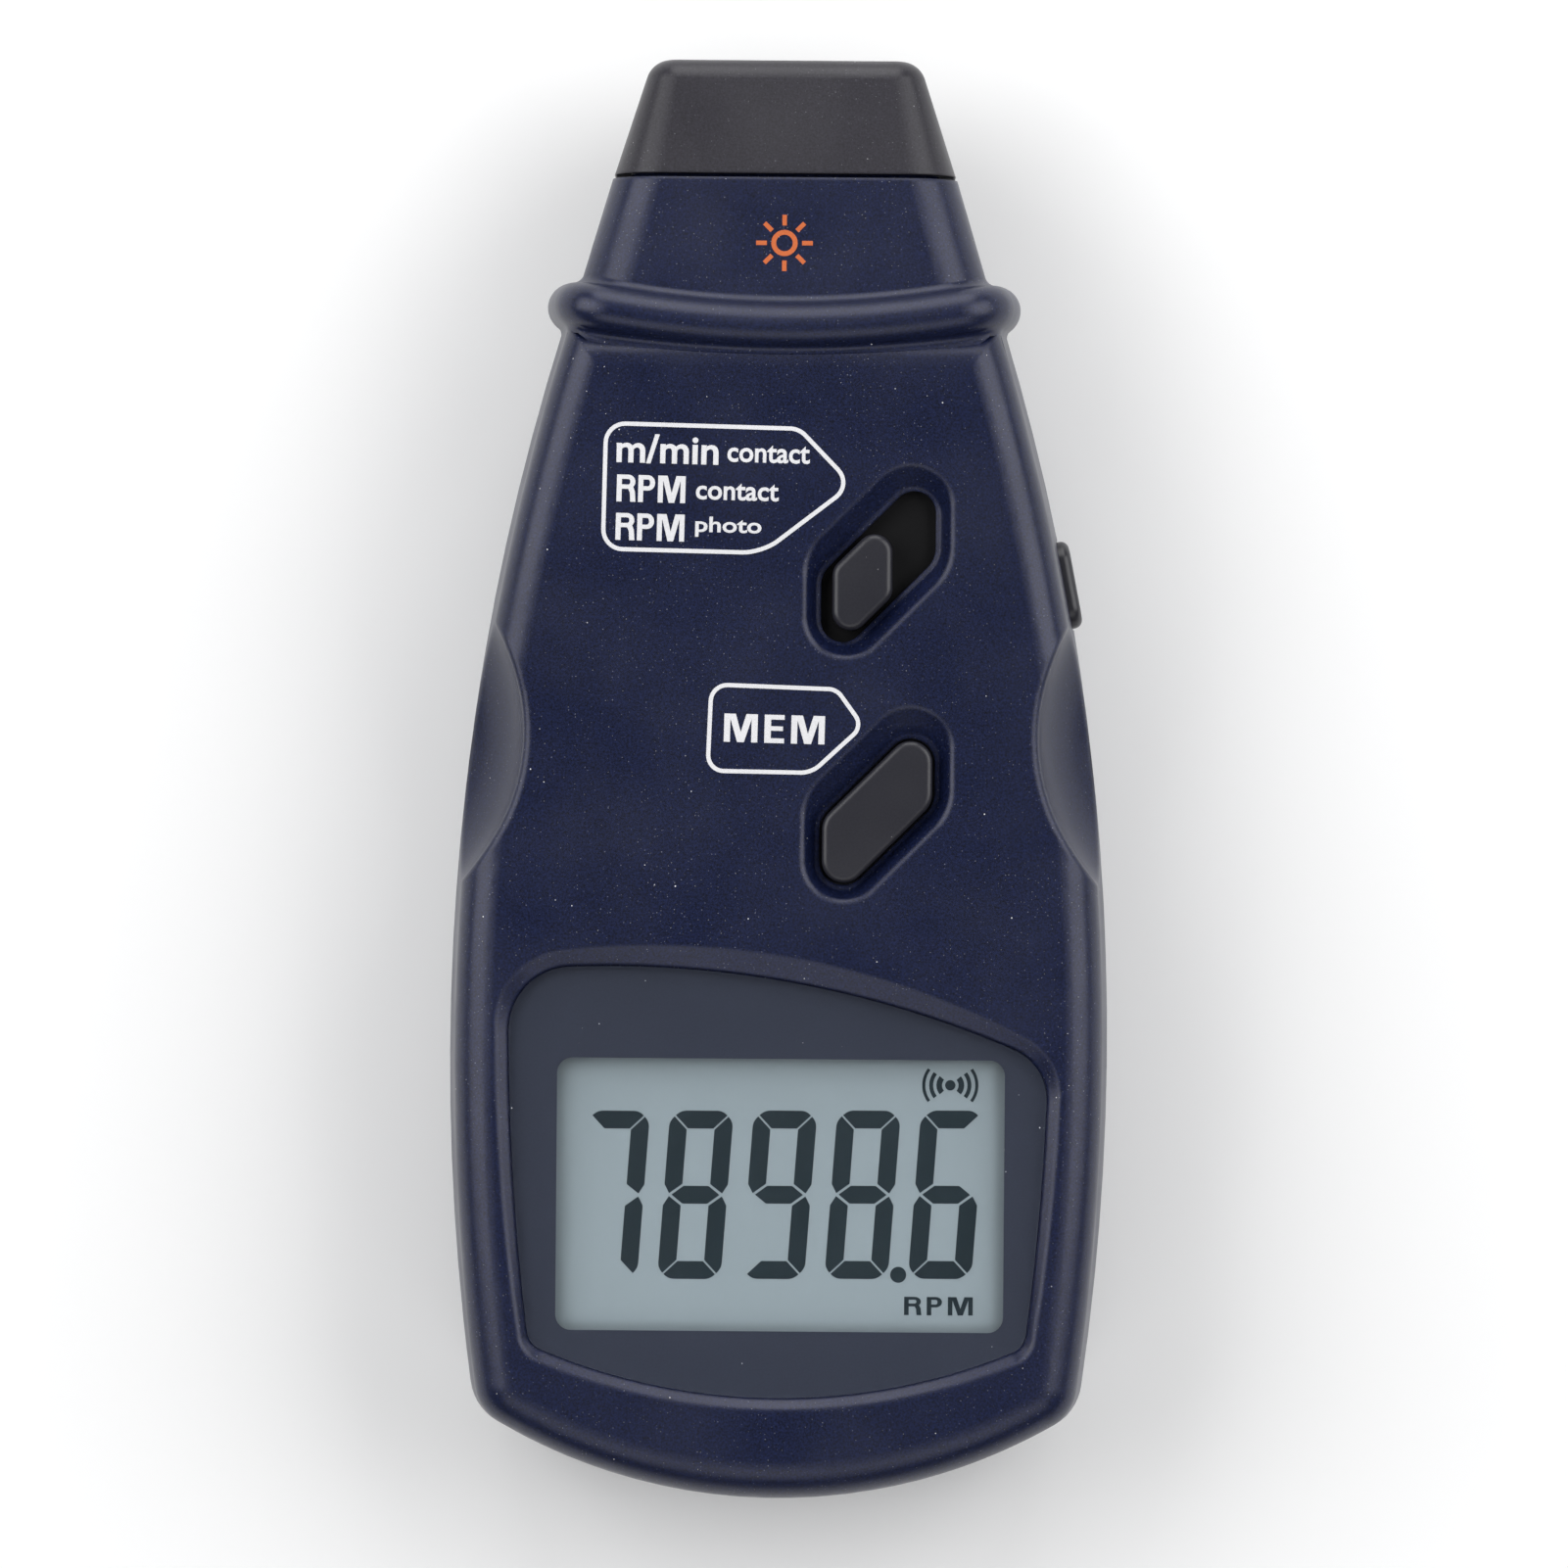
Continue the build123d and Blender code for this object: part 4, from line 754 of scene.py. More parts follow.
@dataclass
class Legends(Part):
    """White print on the front of the case: two pointed frames and their words."""

    case: BVHTree
    level: float = 35.4  # mm
    line: float = 4.3  # px, width of the frame's line
    depth: float = 0.02  # mm
    # column, row and corner radius of each corner of a frame's line in px
    first: tuple = ((618.9, 431.9, 20), (815.9, 437.8, 20), (870.3, 494.9, 19), (778.1, 564.5, 56),
                    (615.5, 560.2, 20))
    second: tuple = ((726.4, 698.8, 17), (854.2, 703.9, 15), (881.0, 741.4, 14), (828.5, 789.1, 26),
                     (722.4, 786.9, 16))
    words: tuple[Legend, ...] = (
        Legend("m/min", (681.8, 458.7), 104.2, 30.0),
        Legend("contact", (784.9, 463.8), 84.4, 18.2),
        Legend("RPM", (664.8, 499.1), 70.2, 27.6),
        Legend("contact", (752.9, 502.4), 84.7, 17.6),
        Legend("RPM", (663.7, 538.3), 70.2, 27.6),
        Legend("photo", (743.7, 538.5), 67.8, 20.9),
        Legend("MEM", (790.7, 744.3), 102.9, 28.9, space=0.2),
    )

    def ring(self, corners: tuple) -> bmesh.types.BMesh:
        """A printed frame with rounded corners.

        Args:
            corners: Column, row and corner radius of each corner of the line's middle, in pixels.

        Returns:
            The frame as a thin plate on the case.
        """
        shape = bmesh.new()
        unit = face_pixel(self.level)
        half = self.line / 2
        middle = [Vector(corner[:2]) for corner in corners]
        outer = []
        for number, here in enumerate(middle):
            a = (middle[number - 1] - here).normalized()
            b = (middle[(number + 1) % len(middle)] - here).normalized()
            outer.append(here - (a + b).normalized() * half / math.sin(a.angle(b) / 2))
        polygon(shape, [ground(p.x, p.y, self.level) for p in outer])
        for point, corner in zip(outer, corners):
            there = ground(point.x, point.y, self.level)
            vert = min(shape.verts, key=lambda v: (v.co - there).length)
            a, b = [(e.other_vert(vert).co - vert.co).normalized() for e in vert.link_edges]
            round_corners(shape, [vert], (corner[2] + half) * unit / math.tan(a.angle(b) / 2))
        line = bmesh.ops.inset_region(shape, faces=shape.faces[:], thickness=self.line * unit,
                                      use_boundary=True, use_even_offset=True)["faces"]
        core = [f for f in shape.faces if f not in line]
        bmesh.ops.delete(shape, geom=core, context="FACES_ONLY")
        thicken(shape, self.depth * MM)
        lay(shape, self.case)
        return shape

    def word(self, legend: Legend) -> bmesh.types.BMesh:
        """One word as a thin plate on the case.

        Args:
            legend: The word and its box.

        Returns:
            The word's mesh.
        """
        unit = face_pixel(self.level)
        size = (legend.width * unit, legend.height * unit, self.depth * MM)
        if legend.words.isupper():
            shape = capitals(legend.words, size, legend.space)
        else:
            shape = letters(legend.words, size, legend.bold)
        turn = Matrix.Translation(ground(*legend.centre, self.level)) @ Matrix.Rotation(PRINT_TURN, 4, "Z")
        bmesh.ops.transform(shape, matrix=turn, verts=shape.verts[:])
        lay(shape, self.case)
        return shape

    def build(self) -> None:
        """Print the legends."""
        for name, corners in (("mode_frame", self.first), ("memory_frame", self.second)):
            self.fit(name, self.ring(corners), PRINT_WHITE)
        for number, legend in enumerate(self.words, 1):
            self.fit(f"legend_{number}", self.word(legend), PRINT_WHITE)


@dataclass(frozen=True)
class Capital:
    """A block capital one unit high, as one outline or as a stem with a bowl and perhaps a leg."""

    width: float
    outline: tuple[tuple[float, float], ...] = ()
    bowl: float = 0.0  # height of its foot
    leg: tuple[tuple[float, float], ...] = ()
    stem: float = 0.18
    bar: float = 0.16
    reach: float = 0.25  # width of the bowl's round end
    steps: int = 6  # of a quarter of it

    def plots(self) -> list[list[tuple[float, float]]]:
        """Corners of every face of the letter, shared where faces meet.

        Returns:
            Lists of places across and up.
        """
        if self.outline:
            return [list(self.outline)]
        low, tall = self.bowl, (1 - self.bowl) / 2
        wide, stem, bar = self.width - self.reach, self.stem, self.bar
        turns = [math.pi * step / (2 * self.steps) for step in range(-self.steps, self.steps + 1)]
        outer = [(wide + self.reach * math.cos(a), low + tall + tall * math.sin(a)) for a in turns]
        inner = [(wide + (self.reach - stem) * math.cos(a), low + tall + (tall - bar) * math.sin(a))
                 for a in turns]
        leg = [[*outer[:4], *self.leg]] if self.leg else []
        outer = [(stem, low), *outer, (stem, 1)]
        inner = [(stem, low + bar), *inner, (stem, 1 - bar)]
        post = [(0, 0), (stem, 0), (stem, low), (stem, low + bar), (stem, 1 - bar), (stem, 1), (0, 1)]
        ring = [[outer[i], outer[i + 1], inner[i + 1], inner[i]] for i in range(len(outer) - 1)]
        return [post, *ring, *leg]


CAPITALS = {
    "M": Capital(0.98, ((0, 0), (0.18, 0), (0.18, 0.82), (0.39, 0), (0.59, 0), (0.8, 0.82), (0.8, 0),
                        (0.98, 0), (0.98, 1), (0.645, 1), (0.49, 0.36), (0.335, 1), (0, 1))),
    "E": Capital(0.58, ((0, 0), (0.58, 0), (0.58, 0.17), (0.19, 0.17), (0.19, 0.435), (0.54, 0.435),
                        (0.54, 0.595), (0.19, 0.595), (0.19, 0.83), (0.58, 0.83), (0.58, 1), (0, 1))),
    "P": Capital(0.6, bowl=0.43),
    "R": Capital(0.66, bowl=0.475, leg=((0.65, 0.38), (0.68, 0.0), (0.49, 0.0), (0.47, 0.34))),
}


def capitals(words: str, size: tuple[float, float, float], space: float) -> bmesh.types.BMesh:
    """Block capitals as thin plates, centred on the origin.

    Args:
        words: The text, of letters that CAPITALS has.
        size: Width, height and depth of its box in metres.
        space: Gap between letters in their height.

    Returns:
        A closed shell for each letter.
    """
    shape = bmesh.new()
    start = 0.0
    for letter in words:
        capital = CAPITALS[letter]
        corners: dict[tuple[float, float], bmesh.types.BMVert] = {}
        for plot in capital.plots():
            places = [(round(start + x, 4), round(y, 4)) for x, y in plot]
            for place in places:
                if place not in corners:
                    corners[place] = vertex(shape, (*place, 0))
            shape.faces.new([corners[place] for place in places])
        start += capital.width + space
    wide = start - space
    bmesh.ops.translate(shape, vec=(-wide / 2, -0.5, 0), verts=shape.verts[:])
    bmesh.ops.scale(shape, vec=(size[0] / wide, size[1], 1), verts=shape.verts[:])
    thicken(shape, size[2])
    return shape


def letters(words: str, size: tuple[float, float, float], bold: float) -> bmesh.types.BMesh:
    """Raised letters, centred on the origin with their foot on the ground plane.

    Args:
        words: The text.
        size: Width, height and depth of its box in metres.
        bold: Growth of the strokes as a share of the font's size.

    Returns:
        Closed shells, one or more for each letter.
    """
    curve = bpy.data.curves.new("letters", type="FONT")
    curve.body = words
    curve.size = 1.0
    curve.extrude = 0.01
    curve.bevel_depth = bold
    curve.bevel_resolution = 1
    curve.resolution_u = 4
    maker = bpy.data.objects.new("letters", curve)
    bpy.context.scene.collection.objects.link(maker)
    bpy.context.view_layer.update()
    graph = bpy.context.evaluated_depsgraph_get()
    mesh = bpy.data.meshes.new_from_object(maker.evaluated_get(graph))
    bpy.data.objects.remove(maker)
    bpy.data.curves.remove(curve)
    shape = bmesh.new()
    shape.from_mesh(mesh)
    bpy.data.meshes.remove(mesh)
    bmesh.ops.remove_doubles(shape, verts=shape.verts[:], dist=1e-5)
    bmesh.ops.dissolve_degenerate(shape, dist=1e-6, edges=shape.edges[:])
    lows = Vector([min(v.co[i] for v in shape.verts) for i in range(3)])
    highs = Vector([max(v.co[i] for v in shape.verts) for i in range(3)])
    foot = Vector(((lows.x + highs.x) / 2, (lows.y + highs.y) / 2, lows.z))
    bmesh.ops.translate(shape, vec=-foot, verts=shape.verts[:])
    bmesh.ops.scale(shape, vec=[wanted / (high - low) for wanted, low, high in zip(size, lows, highs)],
                    verts=shape.verts[:])
    bmesh.ops.recalc_face_normals(shape, faces=shape.faces[:])
    return shape


class Bar(Enum):
    """Bars of a seven-segment digit."""

    TOP = "a"
    RIGHT_HIGH = "b"
    RIGHT_LOW = "c"
    FOOT = "d"
    LEFT_LOW = "e"
    LEFT_HIGH = "f"
    MIDDLE = "g"


@dataclass
class Reading(Part):
    """What the display shows: five digits, a point, the unit and the sensor sign."""

    level: float = 31.4  # mm, like all the digits' sizes
    height: float = 18.57
    width: float = 7.0
    pitch: float = 9.22
    stroke: float = 1.97
    gap: float = 0.19
    corner: float = 2.0
    waist: tuple[float, float] = (0.58, 1.17)  # step inwards of the bars at the middle, and its height
    tip: float = 1.2  # gaps kept free at the end of a bar
    heel: float = 1.6  # gaps kept free over the middle bar's inner corner
    slope: float = 0.0713
    centre: tuple[float, float] = (795.4, 1219.7)  # px, middle digit
    bars: tuple[str, ...] = ("abc", "abcdefg", "abcdfg", "abcdefg", "acdefg")
    point: tuple[float, float, float] = (917.0, 1301.4, 8.2)  # px, centre and radius
    unit: tuple[float, float, float, float] = (958.1, 1333.4, 70.1, 18.7)  # px, centre and size
    unit_space: float = 0.23
    sign: tuple[float, float, float] = (970.2, 1108.0, 5.3)  # px, centre and radius
    # radius and thickness in px and half angle in degrees of each arc
    arcs: tuple = ((11.3, 5.8, 41.0), (19.5, 4.1, 38.5), (27.1, 3.2, 37.0))
    arc_steps: int = 12
    depth: float = 0.03  # mm

    def rounded(self, first: int, last: int) -> list[tuple[float, float]]:
        """Points of the digit's upper right corner, inwards from its two sides.

        Args:
            first: Step to start from, where 0 is on the side and CORNER_STEPS on the top.
            last: Step to end at.

        Returns:
            Distances from the side and from the top in millimetres.
        """
        way = 1 if last > first else -1
        turns = [math.radians(90 * step / CORNER_STEPS) for step in range(first, last + way, way)]
        return [(self.corner * (1 - math.cos(a)), self.corner * (1 - math.sin(a))) for a in turns]

    def bar(self, shape: bmesh.types.BMesh, bar: Bar) -> None:
        """One bar of a digit centred on the origin.

        Args:
            shape: The bmesh to add it to.
            bar: Which bar.
        """
        w, h, t, slip = self.width / 2, self.height / 2, self.stroke, self.gap / math.sqrt(2)
        waist, rise = self.waist
        half_turn = CORNER_STEPS // 2
        if bar in (Bar.TOP, Bar.FOOT):
            end = [(w - a - slip / 2, h - b + slip / 2) for a, b in self.rounded(half_turn, CORNER_STEPS)]
            half = [(w - t - slip, h - t)] + [(x, min(y, h)) for x, y in end]
            points = half + [(-x, y) for x, y in half[::-1]]
            mirror = (1, 1 if bar is Bar.TOP else -1)
        elif bar is Bar.MIDDLE:
            m = t / 2
            half = [(w - t - self.tip * slip, -m), (w - waist - 2 * slip, 0), (w - t - self.tip * slip, m)]
            points = half + [(-x, y) for x, y in half[::-1]]
            mirror = (1, 1)
        else:
            end = [(min(w - a + slip / 2, w), h - b - slip / 2) for a, b in self.rounded(0, half_turn)]
            points = [(w, rise), *end, (w - t, h - t - slip), (w - t, t / 2 + self.heel * slip),
                      (w - waist, self.tip * slip)]
            mirror = (1 if bar in (Bar.RIGHT_HIGH, Bar.RIGHT_LOW) else -1,
                      1 if bar in (Bar.RIGHT_HIGH, Bar.LEFT_HIGH) else -1)
        polygon(shape, [Vector((x * mirror[0], y * mirror[1], 0)) * MM for x, y in points])

    def digit(self, bars: str) -> bmesh.types.BMesh:
        """A slanted digit centred on the origin.

        Args:
            bars: Letters of the bars that show.

        Returns:
            The digit as thin plates.
        """
        shape = bmesh.new()
        for letter in bars:
            self.bar(shape, Bar(letter))
        slant = Matrix(((1, self.slope, 0, 0), (0, 1, 0, 0), (0, 0, 1, 0), (0, 0, 0, 1)))
        bmesh.ops.transform(shape, matrix=slant, verts=shape.verts[:])
        thicken(shape, self.depth * MM)
        return shape

    def disc(self, radius: float) -> bmesh.types.BMesh:
        """A round dot.

        Args:
            radius: Its radius in pixels of the photograph.

        Returns:
            The dot as a thin plate.
        """
        shape = bmesh.new()
        bmesh.ops.create_circle(shape, cap_ends=True, segments=32, radius=radius * face_pixel(self.level))
        thicken(shape, self.depth * MM)
        return shape

    def waves(self) -> bmesh.types.BMesh:
        """The three arcs on each side of the sensor sign's dot.

        Returns:
            The arcs as thin plates.
        """
        shape = bmesh.new()
        scale = face_pixel(self.level)
        for radius, thick, half_angle in self.arcs:
            half = math.radians(half_angle)
            radii = ((radius - thick / 2) * scale, (radius + thick / 2) * scale)
            for side in (0.0, math.pi):
                arc(shape, radii, side - half, 2 * half, self.arc_steps)
        thicken(shape, self.depth * MM)
        return shape

    def put(self, name: str, shape: bmesh.types.BMesh, px: float, py: float) -> None:
        """Set a mark on the panel, centred on a column and row of the photograph."""
        bmesh.ops.translate(shape, vec=spot(px, py, self.level), verts=shape.verts[:])
        self.fit(name, shape, SEGMENT)

    def build(self) -> None:
        """Show the reading."""
        scale = face_pixel(self.level)
        for place, bars in enumerate(self.bars):
            px = self.centre[0] + (place - 2) * self.pitch * MM / scale
            self.put(f"digit_{place + 1}", self.digit(bars), px, self.centre[1])
        px, py, radius = self.point
        self.put("decimal_point", self.disc(radius), px, py)
        px, py, width, height = self.unit
        size = (width * scale, height * scale, self.depth * MM)
        self.put("unit_rpm", capitals("RPM", size, self.unit_space), px, py)
        px, py, radius = self.sign
        self.put("sensor_dot", self.disc(radius), px, py)
        self.put("sensor_waves", self.waves(), px, py)


@dataclass
class WindowBorder(Part):
    """Ink on the back of the window, with the opening over the display."""

    window: bpy.types.Object
    opening: tuple[float, float] = (49.3, 30.0)  # mm
    middle: tuple[float, float] = (0.3, -45.5)
    corner: float = 1.7
    margin: float = 0.08  # between the ink and the window's edge
    depth: float = 0.03
    near: float = 0.05  # faces this near the window's lowest level are its back
    lift: float = 0.02  # between the window's back and the ink

    def build(self) -> None:
        """Print the border."""
        low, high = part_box("display_window")
        shape = bmesh.new()
        shape.from_mesh(self.window.data)
        bmesh.ops.remove_doubles(shape, verts=shape.verts[:], dist=1e-6)
        highest = low.z + self.near * MM
        rest = [f for f in shape.faces if f.normal.z > -0.99 or f.calc_center_median().z > highest]
        bmesh.ops.delete(shape, geom=rest, context="FACES")
        inner = [e for e in shape.edges if not e.is_boundary]
        bmesh.ops.dissolve_edges(shape, edges=inner, use_verts=False)
        centre = (low + high) / 2
        bmesh.ops.translate(shape, vec=(-centre.x, -centre.y, 0), verts=shape.verts[:])
        size = high - low
        share = (1 - 2 * self.margin * MM / size.x, 1 - 2 * self.margin * MM / size.y, 1)
        bmesh.ops.scale(shape, vec=share, verts=shape.verts[:])
        bmesh.ops.translate(shape, vec=(centre.x, centre.y, self.lift * MM), verts=shape.verts[:])
        bmesh.ops.delete(shape, geom=shape.faces[:], context="FACES_ONLY")
        level = shape.verts[:][0].co.z
        x, y = self.middle
        w, h = self.opening[0] / 2, self.opening[1] / 2
        hole = polygon(shape, [Vector((x + a * w, y + b * h, level / MM)) * MM
                               for a, b in ((-1, -1), (1, -1), (1, 1), (-1, 1))])
        round_corners(shape, list(hole.verts), self.corner * MM)
        bmesh.ops.delete(shape, geom=shape.faces[:], context="FACES_ONLY")
        bmesh.ops.triangle_fill(shape, use_beauty=True, edges=shape.edges[:], normal=(0, 0, 1))
        thicken(shape, self.depth * MM)
        self.fit("window_print", shape, BORDER)


@dataclass
class BeamMark(Part):
    """Plain orange ring with eight short rays on the neck."""

    case: BVHTree
    centre: tuple[float, float] = (801.0, 247.0)  # px
    level: float = 35.0  # mm
    ring: tuple[float, float] = (8.5, 13.5)  # px, inner and outer radius
    ray: tuple[float, float, float] = (18.0, 29.0, 4.6)  # px, near and far end and width
    rays: int = 8
    ring_steps: int = 48
    depth: float = 0.02  # mm

    def build(self) -> None:
        """Print the mark."""
        unit = face_pixel(self.level)
        shape = bmesh.new()
        arc(shape, [radius * unit for radius in self.ring], 0.0, 2 * math.pi, self.ring_steps)
        near, far, wide = self.ray
        ray = polygon(shape, [Vector((x * unit, y * wide / 2 * unit, 0))
                              for x, y in ((near, -1), (far, -1), (far, 1), (near, 1))])
        bmesh.ops.spin(shape, geom=[ray, *ray.edges, *ray.verts], cent=(0, 0, 0), axis=(0, 0, 1),
                       angle=2 * math.pi * (self.rays - 1) / self.rays, steps=self.rays - 1,
                       use_duplicate=True)
        thicken(shape, self.depth * MM)
        bmesh.ops.translate(shape, vec=ground(*self.centre, self.level), verts=shape.verts[:])
        lay(shape, self.case)
        self.fit("beam_mark", shape, PRINT_ORANGE)


@dataclass
class GuardBlend(Part):
    """Soft hollow seams where the round finger guard runs into the case and the neck."""

    shells: BVHTree
    radius: float = 2.6  # mm, the guard's own roundness
    middle_y: float = 50.1  # mm, foremost point of its middle line
    bend: float = 113.0  # mm, radius of the line over the face
    half: float = 23.75  # mm, half the line's width at the parting
    bow: float = 1.0  # mm that the sides bulge
    corner: float = 3.3  # mm
    low: float = 6.8  # mm
    high: float = 34.3  # mm
    parting: float = 19.0  # mm
    hollow: tuple = (("head", 1.3), ("foot", 1.0))  # side and radius in mm
    reach: tuple[float, float] = (3.7, 4.7)  # mm from the guard's middle, where the skin is felt
    above: float = 8.0  # mm over the middle line, where a ray towards the skin starts
    root: tuple[float, float] = (0.3, 0.6)  # mm that the filling's inner corner lies under both skins
    sink: float = 0.006  # mm that the whole filling is let in
    steps: int = 12  # of the hollow
    run_steps: int = 24  # of each half of the line over the face
    side_steps: int = 10  # of each half of a side, and of a corner
    pull: float = 0.5523  # length of a quarter circle's handles against its radius

    def spine(self) -> list[Vector]:
        """The guard's middle line, front first.

        Returns:
            Points along it in millimetres.
        """
        def run_y(x: float) -> float:
            """The line's place along the case at a place across it."""
            return self.middle_y + self.bend - math.sqrt(self.bend**2 - x**2)

        side = self.half - self.bow
        flat = side - self.corner
        middle, span = (self.high + self.low) / 2, (self.high - self.low) / 2 - self.corner
        run, sides = self.run_steps, self.side_steps
        front = [Vector((x, run_y(x), self.high)) for x in (flat * i / run for i in range(-run, run + 1))]
        down = []
        for i in range(sides, -sides - 1, -1):
            swell = 1 - (i / sides) ** 2
            across = run_y(side) + swell * (run_y(self.half) - run_y(side))
            down.append(Vector((side + self.bow * swell, across, middle + span * i / sides)))
        back = [Vector((-p.x, p.y, self.low)) for p in front]
        up = [Vector((-p.x, p.y, 2 * middle - p.z)) for p in down]
        line = []
        lines = (front, down, back, up)
        handle = self.pull * self.corner
        for here, following in zip(lines, lines[1:] + lines[:1]):
            start, end = here[-1], following[0]
            out = (start - here[-2]).normalized() * handle
            into = (following[1] - end).normalized() * handle
            line += here + interpolate_bezier(start, start + out, end - into, end, sides)[1:-1]
        return line

    def section(self, middle: Vector, along: Vector, side: int, hollow: float) -> list[Vector]:
        """Outline of the seam's filling at one station.

        Args:
            middle: Point on the guard's middle line.
            along: Direction of the line.
            side: 1 towards the neck, -1 towards the case.
            hollow: Radius of the hollow in millimetres.

        Returns:
            The outline's corners in metres.
        """
        out = along.cross(Vector((0, 1, 0))).normalized()
        over = out.cross(along) * side
        felt = []
        for reach in self.reach:
            start = (middle + over * reach + out * self.above) * MM
            hit = self.shells.ray_cast(start, -out)[0]
            felt.append((hit / MM - middle).dot(out))
        climb = (felt[1] - felt[0]) / (self.reach[1] - self.reach[0])
        tilt = math.sqrt(1 + climb**2)
        rise = felt[0] - climb * self.reach[0] + hollow * tilt
        far = self.radius + hollow
        root = math.sqrt((rise * climb) ** 2 - tilt**2 * (rise**2 - far**2))
        centre = Vector(((root - rise * climb) / tilt**2, 0))
        centre.y = rise + climb * centre.x
        on_guard = centre * self.radius / far
        on_skin = centre - hollow * Vector((-climb, 1)) / tilt
        first = math.atan2(*(on_guard - centre).yx)
        last = math.atan2(*(on_skin - centre).yx)
        first += 2 * math.pi if first < last - math.pi else 0
        last += 2 * math.pi if last < first - math.pi else 0
        angles = [first + (last - first) * i / self.steps for i in range(self.steps + 1)]
        arc = [centre + hollow * Vector((math.cos(a), math.sin(a))) for a in angles]
        sunk = Vector((on_guard.x - self.root[0], min(on_guard.y, on_skin.y) - self.root[1]))
        return [(middle + over * p.x + out * (p.y - self.sink)) * MM for p in [*arc, sunk]]

    def ring(self, side: int, hollow: float) -> bmesh.types.BMesh:
        """The filling all the way round on one side of the guard.

        Args:
            side: 1 towards the neck, -1 towards the case.
            hollow: Radius of the hollow in millimetres.

        Returns:
            A closed ring.
        """
        line = self.spine()
        shape = bmesh.new()
        loops = []
        for before, middle, after in zip([line[-1], *line], line, [*line[1:], line[0]]):
            outline = self.section(middle, (after - before).normalized(), side, hollow)
            corners = [vertex(shape, place) for place in outline]
            loops.append([shape.edges.new(pair) for pair in zip(corners, corners[1:] + corners[:1])])
        for loop, following in zip(loops, loops[1:] + loops[:1]):
            bmesh.ops.bridge_loops(shape, edges=[*loop, *following])
        for face in shape.faces:
            face.smooth = True
        bmesh.ops.recalc_face_normals(shape, faces=shape.faces[:])
        return shape

    def build(self) -> None:
        """Fill both seams, each in a front and a back part."""
        for side, (place, hollow) in zip((1, -1), self.hollow):
            for facing, name in ((1, "front"), (-1, "back")):
                shape = self.ring(side, hollow)
                everything = [*shape.verts, *shape.edges, *shape.faces]
                bmesh.ops.bisect_plane(shape, geom=everything, plane_co=(0, 0, self.parting * MM),
                                       plane_no=(0, 0, facing), clear_inner=True)
                open_edges = [e for e in shape.edges if e.is_boundary]
                bmesh.ops.holes_fill(shape, edges=open_edges, sides=0)
                for edge in shape.edges:
                    edge.smooth = edge.calc_face_angle(0.0) < SHARP
                self.fit(f"guard_seam_{place}_{name}", shape, NAVY_BLEND)


@dataclass(frozen=True)
class Lamp:
    """A soft rectangular lamp that faces the object."""

    name: str
    place: tuple[float, float, float]  # m
    size: tuple[float, float]  # m
    power: float  # W

    def hang(self, aim: Vector) -> None:
        """Put the lamp in the scene.

        Args:
            aim: The point it faces.
        """
        light = bpy.data.lights.new(self.name, "AREA")
        light.shape = "RECTANGLE"
        light.size, light.size_y = self.size
        light.energy = self.power
        held = bpy.data.objects.new(self.name, light)
        held.location = self.place
        held.visible_camera = False
        held.rotation_euler = (aim - Vector(self.place)).to_track_quat("-Z", "Y").to_euler()
        bpy.context.scene.collection.objects.link(held)


